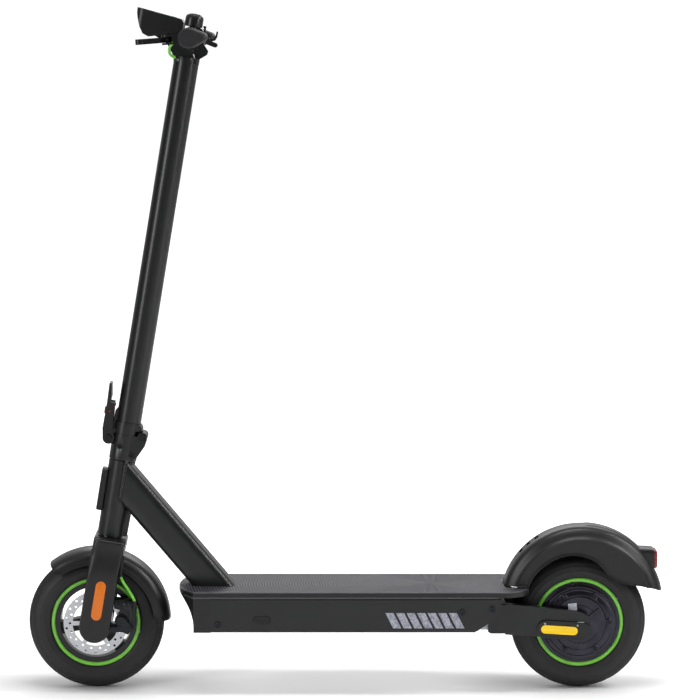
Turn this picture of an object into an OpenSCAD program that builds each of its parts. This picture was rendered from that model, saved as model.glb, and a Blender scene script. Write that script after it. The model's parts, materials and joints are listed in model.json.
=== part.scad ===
/* [Wheels] */
// Distance between the front and rear axles
wheelbase = 909; // [860:1:1100]
// Outer diameter of both tyres
tyre_d = 255; // [236:1:310]
// Width of both tyres
tyre_w = 63; // [50:1:70]
// Outer diameter of the wheels where the tyres seat
rim_d = 168; // [150:1:202]
// Diameter of the opening inside the front wheel's barrel
rim_open_d = 134; // [130:1:140]
// Radial width of the coloured ring on each side of a wheel
ring_w = 7; // [5:0.5:9]
// Diameter of the front brake disc
disc_d = 120; // [110:1:126]
// Diameter of the front axle
front_axle_d = 10; // [8:1:12]
// Diameter of the rear axle
rear_axle_d = 12; // [10:1:14]
// Diameter of the hub motor's side covers
motor_d = 142; // [120:1:146]

/* [Front end] */
// Lean of the steering axis away from upright, in degrees
rake = 9.4; // [0:0.1:14]
// Inner width between the fork legs
fork_gap = 92; // [88:1:104]
// Thickness of a fork leg
leg_t = 14; // [10:1:18]
// Width of a fork leg seen from the side
leg_w = 57; // [44:1:62]
// Thickness of the plastic cover on each fork leg
cover_t = 6; // [5:0.5:9]
// Height of the fork crown
crown_h = 19; // [16:1:26]
// Outer diameter of the steerer tube
steerer_d = 30; // [26:1:32]
// Length of the head tube
head_len = 144; // [120:1:175]
// Outer diameter of the head tube
head_d = 50; // [46:1:60]
// Height of the fold base above the head tube
base_h = 49; // [44:1:60]
// Distance of the fold hinge pin behind the steering axis
hinge_back = 31; // [30:1:38]
// Diameter of the fold hinge pin and of the latch pin
hinge_pin_d = 8; // [6:1:10]

/* [Stem and handlebar] */
// Outer diameter of the stem tube
stem_d = 47; // [42:1:50]
// Visible length of the stem tube
stem_len = 679; // [560:1:820]
// Height of the handlebar's centre above the top of the stem tube
bar_rise = 49; // [44:1:60]
// Overall length of the handlebar with its grips
bar_len = 530; // [440:1:640]
// Diameter of the handlebar
bar_d = 22.2; // [20:0.1:25]
// Length of each grip
grip_len = 118; // [100:1:130]

/* [Deck] */
// Width of the deck
deck_w = 190; // [170:1:230]
// Height of the deck's top surface above the floor
deck_top = 197; // [180:1:230]
// Height of the deck from its underside to its top surface
deck_h = 76; // [66:1:90]
// Wall thickness of the deck chassis
deck_wall = 4; // [3:0.5:5]
// Thickness of the deck plate
lid_t = 9; // [7:0.5:11]
// Thickness of the rubber mat
mat_t = 2; // [1:0.5:3]
// Width and depth of the rectangular down tube
down_tube_w = 60; // [48:1:70]
// Length of the folded kickstand
stand_len = 112; // [100:1:118]

/* [Rear end] */
// Free height between the rear tyre and its fender
rear_gap = 51; // [40:1:60]
// Half of the width of both fenders
fender_half_w = 46; // [44:0.5:48]
// Wall thickness of both fenders
fender_t = 3; // [2:0.5:4]
// Distance between the inner faces of the swing arm's two plates
arm_gap = 102; // [100:1:110]
// Thickness of each swing arm plate
arm_t = 12; // [8:1:14]

/* [Hidden] */
$fn = 64;

// clearances
gap = 0.3;       // between separate pieces that only sit near each other
run = 0.05;      // radial running clearance of a shaft in its bore
past = 1;        // how far a cutting solid runs past the face that it cuts

// wheels and their places
tyre_r = tyre_d / 2;
rim_r = rim_d / 2;
axle_z = tyre_r;
tail_over = 27.5;                       // rear fender beyond the rear tyre
front_x = -(wheelbase + tail_over) / 2;
rear_x = front_x + wheelbase;
barrel_y = 24;                          // half width of the wheel barrels
ring_y = barrel_y + 2.5;                // outer face of the coloured rings
hub_y = 36;                             // outer face of the front hub's disc flange
disc_t = 2;
motor_y = 39;                           // outer face of the motor covers

// heights along the steering axis, from the front axle
front_fender_r = tyre_r + 9.5 + fender_t;
crown_w0 = front_fender_r + 3;
crown_w1 = crown_w0 + crown_h;
head_w0 = crown_w1 + 3;
head_w1 = head_w0 + head_len;
base_w0 = head_w1 + 2;
hinge_w = base_w0 + base_h;
collar_h = 22;
collar_w1 = hinge_w + collar_h;
neck_w = collar_w1 + stem_len;
bar_w = neck_w + bar_rise;
bar_u = 7;                              // handlebar centre behind the steering axis
bearing_h = 10;
bearing_r = steerer_d / 2 + 5.5;
knuckle_r = 9;
latch_u = -32;                          // latch pin, in front of the axis
latch_w = hinge_w - 12;
stem_r = stem_d / 2;
stem_wall = 2.5;
bar_r = bar_d / 2;
bar_mid_r = 15.9;
brake_tilt = 14;                        // brake lever's droop in the steering frame
lever_y = 145 - bar_len / 2;
bell_y = 153 - bar_len / 2;
throttle_y = bar_len / 2 - grip_len - 27;

// fork
leg_y0 = fork_gap / 2;
leg_y1 = leg_y0 + leg_t;
cover_y = leg_y1 + cover_t;

// deck, from front to rear
nose_x = front_x + front_fender_r + 16.25;
cap_face_x = nose_x + 30;
seam_x = nose_x + 62;
ear_x = rear_x - tyre_r - 23.25;
wall_x = ear_x - 35;
tail_x = ear_x + 55;
deck_y = deck_w / 2;
deck_z0 = deck_top - deck_h;
mat_z = deck_top - mat_t;
lid_z = mat_z - lid_t;
floor_t = 7;
cover_in_t = 3;
lid_nose_r = 165;
nose_corner_r = 34;
tail_corner_r = 52;
tail_slot_x = ear_x + 22;
tail_slot_y = 40;
tail_slot_r = 12;

// rectangular down tube, from the steering axis to the deck
tube_w = head_w1 - 28;
tube_x0 = front_x + tube_w * sin(rake);
tube_z0 = axle_z + tube_w * cos(rake);
tube_foot_x = nose_x + 64.5;
tube_turn = atan2(tube_foot_x - tube_x0, deck_top - tube_z0);
tube_bevel = 8;
tube_margin = 2;                        // rubber mat's edge around the down tube
tube_wall = 3;

// rear end
swing_x = ear_x - 13;
swing_z = deck_z0 + 3;
swing_pin_r = 6;
rear_fender_r = tyre_r - 30 + rear_gap + fender_t + 1.2;
rear_fender_x = rear_x + 5.5;
rear_fender_z = axle_z + 30;
tail_box_x = rear_x + 107;
tail_box_len = 34.5;
arm_y0 = arm_gap / 2;
arm_y1 = arm_y0 + arm_t;
arm_cover_t = 6;

// charge port on the left side
port_x = seam_x + 95;
port_z = deck_z0 + 23.5;
port_half = 9;
port_r = 7.5;
port_hinge = port_half + port_r - 3;    // its cap's hinge behind the port's centre

// kickstand pivot under the right side
stand_x = seam_x + 190;
stand_y = deck_y - 24;
stand_z = deck_z0 - 14;
stand_lean = 17.7;

// routes of the brake hose, in front wheel coordinates (back, side, up)
hose_r = 2.6;
lower_route = [[31.5, -53, 138], [31.5, -53, 126], [31.5, -53, 114], [32, -53, 104], [35, -53, 95],
    [41, -53.5, 87], [49, -54, 78.5], [57.5, -54.5, 69], [64.5, -55, 60], [67.3, -55, 53], [67.5, -55, 46.2]];
upper_route = [[-20, -109.8, 1103], [-22, -98, 1101], [-27, -84, 1094], [-31, -70, 1087],
    [-32, -56, 1080], [-31, -42, 1075], [-27, -31, 1071], [-22, -21.2, 1069]];

// ---- shared helpers ----

// places children in the frame of the steering axis: x back, y side, z up the axis, zero at the axle
module steer_frame() {
    translate([front_x, 0, axle_z]) rotate([0, rake, 0]) children();
}

// stem pieces are drawn in the steering frame too
module bar_frame() {
    steer_frame() translate([bar_u, 0, bar_w]) children();
}

// brake lever pieces, level with the drooping lever
module brake_frame() {
    bar_frame() rotate([0, -brake_tilt, 0]) children();
}

// extrudes an outline drawn in side view (x back, y up) from side position y0 to y1
module side_plate(y0, y1) {
    translate([0, y1, 0]) rotate([90, 0, 0]) linear_extrude(y1 - y0) children();
}

// extrudes an outline drawn in front view (x side, y up) from x0 to x1
module front_plate(x0, x1) {
    translate([x0, 0, 0]) rotate([90, 0, 90]) linear_extrude(x1 - x0) children();
}

module rod_y(r, y0, y1) {
    translate([0, y0, 0]) rotate([-90, 0, 0]) cylinder(r = r, h = y1 - y0);
}

module hex_y(r, y0, y1) {
    translate([0, y0, 0]) rotate([-90, 0, 0]) cylinder(r = r, h = y1 - y0, $fn = 6);
}

module both_sides() {
    children();
    mirror([0, 1, 0]) children();
}

module rounded_box(size, r) {
    linear_extrude(size[2]) rounded_rect(size[0], size[1], r);
}

// rectangle from the origin with round corners, exact
module rounded_rect(w, h, r) {
    translate([r, 0]) square([w - 2 * r, h]);
    translate([0, r]) square([w, h - 2 * r]);
    for (x = [r, w - r], y = [r, h - r]) translate([x, y]) circle(r);
}

// stadium centred on the origin, along x
module stadium(half, r) {
    square([2 * half, 2 * r], center = true);
    for (x = [-half, half]) translate([x, 0]) circle(r);
}

// two circles joined by their outer tangents: r1 at the origin, r2 at (d, 0)
module teardrop(r1, r2, d) {
    a = acos((r1 - r2) / d);
    circle(r1);
    translate([d, 0]) circle(r2);
    polygon([[r1 * cos(a), r1 * sin(a)], [d + r2 * cos(a), r2 * sin(a)],
        [d + r2 * cos(a), -r2 * sin(a)], [r1 * cos(a), -r1 * sin(a)]]);
}

// tube swept along a list of points
function unit(v) = v / norm(v);
function direction(p, i) = unit(p[min(i + 1, len(p) - 1)] - p[max(i - 1, 0)]);
function ring_points(c, d, r, n) =
    let (side = unit(cross(d, abs(d[1]) > 0.9 ? [0, 0, 1] : [0, 1, 0])), up = cross(side, d))
    [for (k = [0:n - 1]) c + r * (side * cos(360 * k / n) + up * sin(360 * k / n))];
function spline(a, b, c, d, t) = 0.5 * (2 * b + (c - a) * t + (2 * a - 5 * b + 4 * c - d) * t * t
    + (3 * b - a - 3 * c + d) * t * t * t);
function smooth(p, n) = concat([for (i = [0:len(p) - 2], k = [0:n - 1])
    spline(p[max(i - 1, 0)], p[i], p[i + 1], p[min(i + 2, len(p) - 1)], k / n)], [p[len(p) - 1]]);

module hose(points, r) {
    n = 8;
    m = len(points);
    rings = [for (i = [0:m - 1]) each ring_points(points[i], direction(points, i), r, n)];
    sides = [for (i = [0:m - 2], k = [0:n - 1])
        [i * n + k, i * n + (k + 1) % n, (i + 1) * n + (k + 1) % n, (i + 1) * n + k]];
    polyhedron(rings, concat([[for (k = [n - 1:-1:0]) k]], sides, [[for (k = [0:n - 1]) (m - 1) * n + k]]));
}

// ---- frame body ----

module tube_outline(grow) {
    h = down_tube_w / 2 + grow;
    b = tube_bevel;
    polygon([[h - b, -h], [h, b - h], [h, h - b], [h - b, h], [b - h, h], [-h, h - b], [-h, b - h], [b - h, -h]]);
}

module down_tube(grow, h) {
    translate([tube_x0, 0, tube_z0]) rotate([0, tube_turn, 0]) linear_extrude(h) tube_outline(grow);
}

module main_frame() color("#26262a") {
    foot_z = deck_z0 + floor_t;
    difference() {
        union() {
            steer_frame() translate([0, 0, head_w0]) cylinder(r = head_d / 2, h = head_len);
            difference() {
                down_tube(0, 460);
                down_tube(-tube_wall, 460);
                steer_frame() translate([-60, -50, head_w0 - 100]) cube([66, 100, head_len + 160]);
                translate([seam_x - 200, -60, foot_z - 200]) cube([500, 120, 200]);
            }
            // lower gusset between the head tube and the down tube
            steer_frame() side_plate(-14, 14)
                polygon([[0, head_w0 + 3], [head_d / 2 + 6, head_w0 + 3], [head_d / 2 + 7, head_w0 + 50],
                    [0, head_w0 + 60]]);
        }
        steer_frame() {
            translate([0, 0, head_w0 - past]) cylinder(r = steerer_d / 2 + 2, h = head_len + 2 * past);
            for (w = [head_w0 - past, head_w1 - bearing_h])
                translate([0, 0, w]) cylinder(r = bearing_r, h = bearing_h + past);
        }
    }
}

module headset_bearings() color("#8f9296")
    steer_frame() for (w = [head_w0, head_w1 - bearing_h]) translate([0, 0, w]) difference() {
        cylinder(r = bearing_r, h = bearing_h);
        translate([0, 0, -past]) cylinder(r = steerer_d / 2 + run, h = bearing_h + 2 * past);
    }

module front_reflector() color("#d9dcde")
    steer_frame() difference() {
        side_plate(-14, 14) polygon([[-head_d / 2 + 3, head_w0 + 46], [-head_d / 2 - 9, head_w0 + 44],
            [-head_d / 2 - 9, head_w0 + 124], [-head_d / 2 + 3, head_w0 + 126]]);
        translate([0, 0, head_w0]) cylinder(r = head_d / 2 + run, h = head_len);
    }

module deck_side_outline() {
    polygon([[seam_x, deck_z0], [ear_x - 49, deck_z0], [ear_x - 28, deck_z0 + 14], [ear_x - 19, deck_z0 + 20],
        [ear_x - 4, deck_z0 + 34], [ear_x, deck_z0 + 44], [ear_x, lid_z], [seam_x, lid_z]]);
}

module deck_front_outline() {
    edge = 4;
    polygon([[-deck_y + edge, deck_z0], [-deck_y, deck_z0 + edge], [-deck_y, lid_z - 3],
        [-deck_y + 1.5, lid_z - 3], [-deck_y + 1.5, lid_z], [deck_y - 1.5, lid_z], [deck_y - 1.5, lid_z - 3],
        [deck_y, lid_z - 3], [deck_y, deck_z0 + edge], [deck_y - edge, deck_z0]]);
}

module bottom_recess(grow) {
    translate([seam_x + 20 - grow, -deck_y + 18 - grow, deck_z0 - past])
        rounded_box([wall_x - seam_x - 52 + 2 * grow, 2 * deck_y - 36 + 2 * grow, cover_in_t + past], 10);
}

module side_bolt_places() {
    for (p = [[ear_x - 16, deck_z0 + 44], [ear_x - 72, deck_z0 + 38.5], [seam_x + 13, deck_z0 + 15]])
        translate([p[0], 0, p[1]]) children();
}

module cover_screw_places() {
    for (x = [seam_x + 30, seam_x + 150, wall_x - 150, wall_x - 42], y = [-deck_y + 26, deck_y - 26])
        translate([x, y, deck_z0]) children();
}

module stand_frame() {
    translate([stand_x, stand_y, stand_z]) rotate([stand_lean, 0, 0]) children();
}

module deck_chassis() color("#2b2b2f") {
    difference() {
        union() {
            intersection() {
                side_plate(-deck_y, deck_y) deck_side_outline();
                front_plate(seam_x - past, ear_x + past) deck_front_outline();
            }
            // lug that carries the kickstand
            difference() {
                stand_frame() union() {
                    rod_y(9, -8, 8);
                    translate([-9, -8, 0]) cube([18, 16, 30]);
                }
                translate([stand_x - 40, 0, deck_z0 + 3]) cube([80, deck_y, 60]);
            }
        }
        translate([seam_x - past, deck_wall - deck_y, deck_z0 + floor_t])
            cube([wall_x - deck_wall - seam_x + past, 2 * (deck_y - deck_wall), deck_h]);
        translate([wall_x, deck_wall - deck_y, deck_z0 - past])
            cube([ear_x - wall_x + past, 2 * (deck_y - deck_wall), deck_h]);
        bottom_recess(0);
        side_bolt_places() rod_y(3.1, -deck_y - past, deck_y + past);
        cover_screw_places() cylinder(r = 2, h = floor_t - 1.5);
        translate([port_x, 0, port_z]) side_plate(-deck_y - past, -deck_y + deck_wall + past)
            stadium(port_half, port_r + gap);
        stand_frame() rod_y(4 + run, -20, 20);
    }
}

module plan_outline(inset) {
    difference() {
        union() {
            intersection() {
                translate([nose_x + lid_nose_r, 0]) circle(lid_nose_r - inset);
                union() {
                    translate([nose_x, -deck_y + nose_corner_r]) square([lid_nose_r, 2 * (deck_y - nose_corner_r)]);
                    translate([nose_x + nose_corner_r, -deck_y + inset])
                        square([lid_nose_r, 2 * (deck_y - inset)]);
                    for (s = [-1, 1]) translate([nose_x + nose_corner_r, s * (deck_y - nose_corner_r)])
                        circle(nose_corner_r - inset);
                }
            }
            translate([seam_x, -deck_y + inset]) square([tail_x - tail_corner_r - seam_x, 2 * (deck_y - inset)]);
            translate([seam_x, tail_corner_r - deck_y])
                square([tail_x - inset - seam_x, 2 * (deck_y - tail_corner_r)]);
            for (s = [-1, 1]) translate([tail_x - tail_corner_r, s * (deck_y - tail_corner_r)])
                circle(tail_corner_r - inset);
        }
        translate([tail_slot_x - inset, -tail_slot_y - inset])
            rounded_rect(tail_x, 2 * (tail_slot_y + inset), tail_slot_r);
    }
}

module deck_front_cap() color("#26262a") {
    curve_r = 70;
    wall = 3.5;
    difference() {
        intersection() {
            side_plate(-deck_y, deck_y) difference() {
                translate([nose_x, deck_z0]) square([seam_x - nose_x, lid_z - deck_z0]);
                translate([cap_face_x - curve_r, deck_z0 + 9]) circle(curve_r);
                translate([nose_x - past, deck_z0 - past]) square([cap_face_x - nose_x + past, 10 + past]);
            }
            translate([0, 0, deck_z0 - past]) linear_extrude(deck_h) plan_outline(0);
        }
        intersection() {
            side_plate(wall - deck_y, deck_y - wall) difference() {
                translate([nose_x, deck_z0 + wall]) square([seam_x + past - nose_x, deck_h]);
                translate([cap_face_x - curve_r, deck_z0 + 9]) circle(curve_r + wall);
                translate([nose_x - past, deck_z0]) square([cap_face_x + wall - nose_x + past, 10]);
            }
            translate([0, 0, deck_z0]) linear_extrude(deck_h) plan_outline(wall);
        }
        down_tube(gap, 460);
    }
}

module deck_plate() color("#2a2a2e") {
    bead = 3;
    difference() {
        translate([0, 0, lid_z]) linear_extrude(lid_t + mat_t - 0.5) plan_outline(0);
        translate([0, 0, mat_z]) linear_extrude(lid_t) plan_outline(bead);
        down_tube(gap, 460);
    }
}

module deck_mat() color("#4a4850")
    difference() {
        translate([0, 0, mat_z]) linear_extrude(mat_t) plan_outline(3 + gap);
        down_tube(tube_margin, 460);
        translate([tail_slot_x - 14, -tail_slot_y - 12, mat_z - past]) cube([tail_x, 2 * tail_slot_y + 24, 10]);
    }

module bottom_cover() color("#1f1f22")
    difference() {
        bottom_recess(-gap);
        translate([seam_x, -deck_y, deck_z0 - 2 * past]) cube([wall_x - seam_x, deck_w, 2 * past]);
        cover_screw_places() translate([0, 0, -past]) cylinder(r = 4.2, h = cover_in_t + 2 * past);
        stand_frame() translate([-14, -14, -20]) cube([28, 28, 50]);
    }

module frame_bolts() color("#2c2c30") {
    for (s = [-1, 1]) side_bolt_places() difference() {
        union() {
            rod_y(3, s > 0 ? deck_y - 8 : -deck_y - 2, s > 0 ? deck_y + 2 : 8 - deck_y);
            rod_y(6, s > 0 ? deck_y : -deck_y - 3, s > 0 ? deck_y + 3 : -deck_y);
        }
        hex_y(3, s > 0 ? deck_y + 1 : -deck_y - 4, s > 0 ? deck_y + 4 : -deck_y - 1);
    }
    cover_screw_places() difference() {
        union() {
            cylinder(r = 4, h = cover_in_t);
            cylinder(r = 1.9, h = floor_t - 2);
        }
        translate([0, 0, -past]) cylinder(r = 2, h = 2.5, $fn = 6);
    }
}

module battery_pack() color("#2f5fa8")
    translate([tube_foot_x + 100, 40 - deck_y, deck_z0 + floor_t]) rounded_box([290, 2 * (deck_y - 40), 46], 6);

module controller() color("#9a9da1")
    translate([wall_x - deck_wall - 92, 52 - deck_y, deck_z0 + floor_t]) rounded_box([84, 2 * (deck_y - 52), 30], 4);

module charge_port() color("#1b1b1d")
    translate([port_x, 0, port_z]) difference() {
        union() {
            side_plate(-deck_y, 14 - deck_y) stadium(port_half, port_r);
            side_plate(deck_wall - deck_y, deck_wall + 3 - deck_y) stadium(port_half, port_r + 2.5);
        }
        rod_y(5, -deck_y - past, 10 - deck_y);
    }

module charge_cap() color("#343438")
    translate([port_x, 0, port_z]) {
        difference() {
            side_plate(-deck_y - 2.3, -deck_y - gap) stadium(port_half, port_r);
            translate([port_hinge, -deck_y - 5, -20]) cube([20, 10, 40]);
        }
        rod_y(4, -deck_y - 1, 1.5 - deck_y);
        translate([port_hinge, -deck_y - 1.8, -6]) cylinder(r = 1.4, h = 12);
    }

module deck_reflectors() color("#c9ccd0")
    both_sides() for (i = [0:6]) translate([wall_x - 180 + 19.6 * i, 0, deck_z0 + 8.5])
        side_plate(-deck_y - 0.8, -deck_y) polygon([[14.5, 0], [29.5, 0], [15, 29], [0, 29]]);

// hollow of a wheel arch: a flat crown, slanted shoulders and upright sides
module arc_core(r, shoulder, top_y, side_y, wall) {
    rotate([90, 0, 0]) rotate_extrude($fn = 128) polygon([[0, wall - side_y],
        [r - shoulder - wall / 2, wall - side_y], [r - shoulder / 4 - wall, wall - (top_y + side_y) / 2],
        [r - wall, wall - top_y], [r - wall, top_y - wall],
        [r - shoulder / 4 - wall, (top_y + side_y) / 2 - wall], [r - shoulder - wall / 2, side_y - wall],
        [0, side_y - wall]]);
}

// the same arch as a solid, from angle a0 to a1
module arc_solid(r, edge_r, shoulder, top_y, side_y, a0, a1) {
    rotate([90, 0, 0]) rotate([0, 0, a0]) rotate_extrude(angle = a1 - a0, $fn = 128)
        polygon([[edge_r, -side_y], [r - shoulder, -side_y], [r - shoulder / 4, -(top_y + side_y) / 2],
            [r, -top_y], [r, top_y], [r - shoulder / 4, (top_y + side_y) / 2], [r - shoulder, side_y],
            [edge_r, side_y]]);
}

module rear_fender() color("#26262a") {
    top = rear_fender_r;
    shoulder = 23;
    top_y = 26;
    box_z = axle_z + 98;
    box_y = 24;
    difference() {
        union() {
            translate([rear_fender_x, 0, rear_fender_z])
                arc_solid(top, top - 45, shoulder, top_y, fender_half_w, 11.6, 166);
            // skirts that reach lower behind the tyre
            translate([rear_x, 0, axle_z]) both_sides() side_plate(-fender_half_w, fender_t - fender_half_w)
                polygon([[25, 116], [52, 92.5], [74, 77.5], [93, 75], [113, 72], [152, 61], [146, 86],
                    [128, 108], [105, 126], [70, 142], [30, 148]]);
            // moulded box of the tail light
            translate([tail_box_x, -box_y, box_z]) difference() {
                rounded_box_x([tail_box_len, 2 * box_y, 41], 5);
                translate([-past, 4, 4]) cube([tail_box_len - 3, 2 * box_y - 8, 33]);
            }
        }
        translate([rear_fender_x, 0, rear_fender_z])
            arc_core(top, shoulder, top_y, fender_half_w, fender_t);
        // seat on the tail of the deck
        translate([0, 0, lid_z - gap]) linear_extrude(deck_top + 2 * gap - lid_z) plan_outline(-gap);
        translate([ear_x - 200, -60, 0]) cube([200, 120, deck_top + gap]);
        // stow slots in the front of the arch
        for (a = [136, 126]) translate([rear_fender_x, 0, rear_fender_z]) rotate([0, -a, 0])
            translate([top - 12, -9, -4]) cube([20, 18, 8]);
    }
}

module rounded_box_x(size, r) {
    rotate([90, 0, 90]) linear_extrude(size[0]) rounded_rect(size[1], size[2], r);
}

module tail_lens() color("#8e1420")
    translate([tail_box_x + tail_box_len, -22, axle_z + 101]) difference() {
        rounded_box_x([6, 44, 34], 6);
        translate([-past, 3, 3]) cube([3 + past, 38, 28]);
    }

module swing_bracket() color("#b4b8bc") {
    difference() {
        union() {
            for (y = [-42, 32]) translate([swing_x, 0, swing_z]) rod_y(11, y, y + 10);
            for (y = [-42, 32]) translate([wall_x, y, swing_z - 8]) cube([swing_x - wall_x, 10, 19]);
            translate([wall_x, -56, swing_z + 5]) cube([4, 112, 6]);
        }
        translate([swing_x, 0, swing_z]) rod_y(swing_pin_r + run, -60, 60);
    }
    translate([swing_x, 0, swing_z]) rod_y(swing_pin_r, -46, 46);
}

module suspension_rubber() color("#1a1a1c")
    translate([wall_x + gap, -40, swing_z + 20]) rounded_box_x([swing_x - 9 - wall_x - 2 * gap, 80, 24], 5);

module kickstand() color("#3a3a3e") {
    knuckle = 7.5;
    leg = 5.5;
    leg_side = 14;
    stand_frame() {
        rod_y(4, -9, 9);
        rod_y(knuckle, 8 + gap, leg_side + leg);
        rod_y(6.5, -11, -8 - gap);
        translate([0, leg_side, 0]) rotate([0, 90, 0]) cylinder(r = leg, h = stand_len - 8);
        translate([stand_len - 15, leg_side - 5, -5]) rounded_box([15, 10, 10], 3);
    }
}

// ---- steering body ----

module leg_outline(inset) {
    r = leg_w / 2 - inset;
    translate([0, -4]) circle(r);
    translate([-r, -4]) square([2 * r, crown_w0 + 4 - inset]);
}

module fork() color("#2b2b2f")
    steer_frame() difference() {
        union() {
            both_sides() side_plate(-leg_y1, -leg_y0) leg_outline(0);
            intersection() {
                translate([-30, -leg_y1, crown_w0]) cube([64, 2 * leg_y1, crown_h]);
                front_plate(-40, 40) polygon([[-leg_y1, crown_w0 - past], [leg_y1, crown_w0 - past],
                    [leg_y1, crown_w0 + 4], [40, crown_w1], [-40, crown_w1], [-leg_y1, crown_w0 + 4]]);
                translate([0, 0, crown_w0]) rotate([0, 0, 0]) linear_extrude(crown_h)
                    translate([-28, -leg_y1]) rounded_rect(60, 2 * leg_y1, 12);
            }
            // the legs run up into the crown
            both_sides() side_plate(-leg_y1, -leg_y0) translate([-leg_w / 2 + 2, crown_w0 - 10])
                square([leg_w - 4, 14]);
            translate([0, 0, crown_w1 - past]) cylinder(r = bearing_r, h = head_w0 - crown_w1 - gap + past);
            translate([0, 0, crown_w1 - past]) cylinder(r = steerer_d / 2, h = hinge_w - 14 - crown_w1 + past);
        }
        rod_y(front_axle_d / 2 + run, -leg_y1 - past, leg_y1 + past);
        translate([0, 0, crown_w0 - past]) cylinder(r = steerer_d / 2 - 3, h = hinge_w - crown_w0);
    }

module fork_covers() color("#242428")
    steer_frame() both_sides() difference() {
        side_plate(-cover_y, -leg_y1) leg_outline(2);
        rod_y(11, -cover_y + 1.5, -leg_y1 + past);
        translate([0, 0, 48.5]) rotate([0, 0, 0]) side_plate(-cover_y - past, -cover_y + 1)
            rotate(90) stadium(27.5, 10 + gap);
    }

module fork_reflectors() color("#e07a14")
    steer_frame() both_sides() translate([0, 0, 48.5]) side_plate(-cover_y - 1.4, -cover_y + 1)
        rotate(90) stadium(27.5, 10);

module fold_base() color("#26262a")
    steer_frame() difference() {
        union() {
            translate([0, 0, base_w0]) cylinder(r = 26, h = hinge_w - gap - base_w0);
            // ear up to the hinge pin
            side_plate(-24, 24) polygon([[0, base_w0 + 6], [hinge_back - 6, base_w0 + 6],
                [hinge_back + knuckle_r - 2, hinge_w - 16], [hinge_back + knuckle_r, hinge_w],
                [hinge_back - knuckle_r, hinge_w - gap], [0, hinge_w - gap]]);
            translate([hinge_back, 0, hinge_w]) rod_y(knuckle_r, -24, 24);
            // lug that carries the latch lever
            side_plate(-12, 12) polygon([[-10, latch_w - 16], [latch_u + 2, latch_w - 9], [latch_u, latch_w + 9],
                [-10, latch_w + 11]]);
            translate([latch_u, 0, latch_w]) rod_y(9, -12, 12);
        }
        translate([0, 0, base_w0 - past]) cylinder(r = steerer_d / 2 + run, h = hinge_w - 13.5 - base_w0 + past);
        translate([0, 0, hinge_w - 15]) cylinder(r = 12, h = 20);
        translate([hinge_back, 0, hinge_w]) rod_y(knuckle_r + 0.5, -12 - gap, 12 + gap);
        translate([hinge_back, 0, hinge_w]) rod_y(hinge_pin_d / 2 + run, -40, 40);
        translate([latch_u, 0, latch_w]) rod_y(hinge_pin_d / 2 + run, -40, 40);
        // room for the cheeks of the latch lever
        both_sides() translate([latch_u, 0, latch_w]) rod_y(11.5, -30, -12);
        // split between the two clamp halves, and screw seats
        translate([-40, -0.6, base_w0 - past]) cube([24, 1.2, base_h - 20]);
        for (p = [[-8, base_w0 + 26], [16, base_w0 + 14]]) translate([p[0], 0, p[1]])
            rod_y(5.2, -40, -18);
    }

module steering_pins() color("#c2c5c9") {
    steer_frame() {
        translate([hinge_back, 0, hinge_w]) {
            rod_y(hinge_pin_d / 2, -24, 24);
            both_sides() rod_y(6.5, -26.5, -24);
        }
        translate([latch_u, 0, latch_w]) {
            rod_y(hinge_pin_d / 2, -19, 19);
            both_sides() hex_y(7.5, -22.5, -18.5);
        }
        for (p = [[-8, base_w0 + 26], [16, base_w0 + 14]]) translate([p[0], 0, p[1]]) difference() {
            rod_y(5, -21, -18);
            hex_y(2.6, -24, -19.5);
        }
    }
}

module front_fender() color("#26262a") {
    shoulder = 12;
    top_y = 22;
    side_y = fender_half_w - 3;
    difference() {
        union() {
            translate([front_x, 0, axle_z])
                arc_solid(front_fender_r, front_fender_r - 29, shoulder, top_y, side_y, 2, 128);
            // seat under the crown
            steer_frame() difference() {
                translate([-20, -20, front_fender_r - 3]) cube([40, 40, crown_w0 - front_fender_r + 3]);
                rod_y(front_fender_r - 1.5, -50, 50);
            }
        }
        translate([front_x, 0, axle_z]) arc_core(front_fender_r, shoulder, top_y, side_y, fender_t);
        // hole of the crown bolt
        steer_frame() translate([0, 0, front_fender_r - 20]) cylinder(r = 4, h = 40);
    }
}

module caliper_outline() {
    polygon([[leg_w / 2, -12], [38, -22], [64, -20], [73, 0], [70, 32], [61, 56], [43, 56], [leg_w / 2, 45]]);
}

module brake_caliper() color("#2f2f33")
    steer_frame() {
        difference() {
            union() {
                side_plate(-59, -29) caliper_outline();
                translate([47.8, 0, 17.5]) rod_y(13, -63, -59);
                // stop that the hose ends in
                translate([67.5, -55, 34]) cylinder(r = 4.2, h = 12);
            }
            rod_y(disc_d / 2 + 1.5, -hub_y - disc_t - 1, -hub_y + 1);
            rod_y(31, -hub_y - disc_t - 1, -20);
            translate([47.8, 0, 17.5]) hex_y(4, -64, -61);
        }
    }

module caliper_arm() color("#b4b8bc")
    steer_frame() translate([47.8, 0, 17.5]) difference() {
        union() {
            rod_y(8, -67, -63 - gap);
            side_plate(-67, -64) rotate(-30) teardrop(8, 5, 22);
            rotate([0, 30, 0]) translate([22, 0, 0]) rod_y(4, -70, -62);
        }
        hex_y(3, -68, -65);
    }

module front_axle() color("#a9acb0")
    steer_frame() {
        rod_y(front_axle_d / 2, -leg_y1 - 4, leg_y1 + 4);
        both_sides() difference() {
            hex_y(8.5, -leg_y1 - 4, -leg_y1);
            rod_y(front_axle_d / 2 - 0.5, -leg_y1 - 5, -leg_y1 + past);
        }
    }

module lower_hose() color("#7cc24a")
    steer_frame() hose(smooth(lower_route, 3), hose_r);

// ---- front wheel body ----

module tyre() {
    section_r = tyre_w / 2;
    rotate([90, 0, 0]) rotate_extrude($fn = 128) difference() {
        translate([tyre_r - section_r, 0]) circle(section_r);
        translate([-past, -tyre_w]) square([rim_r + past, 2 * tyre_w]);
    }
}

module wheel_place(x) {
    translate([x, 0, axle_z]) children();
}

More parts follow.
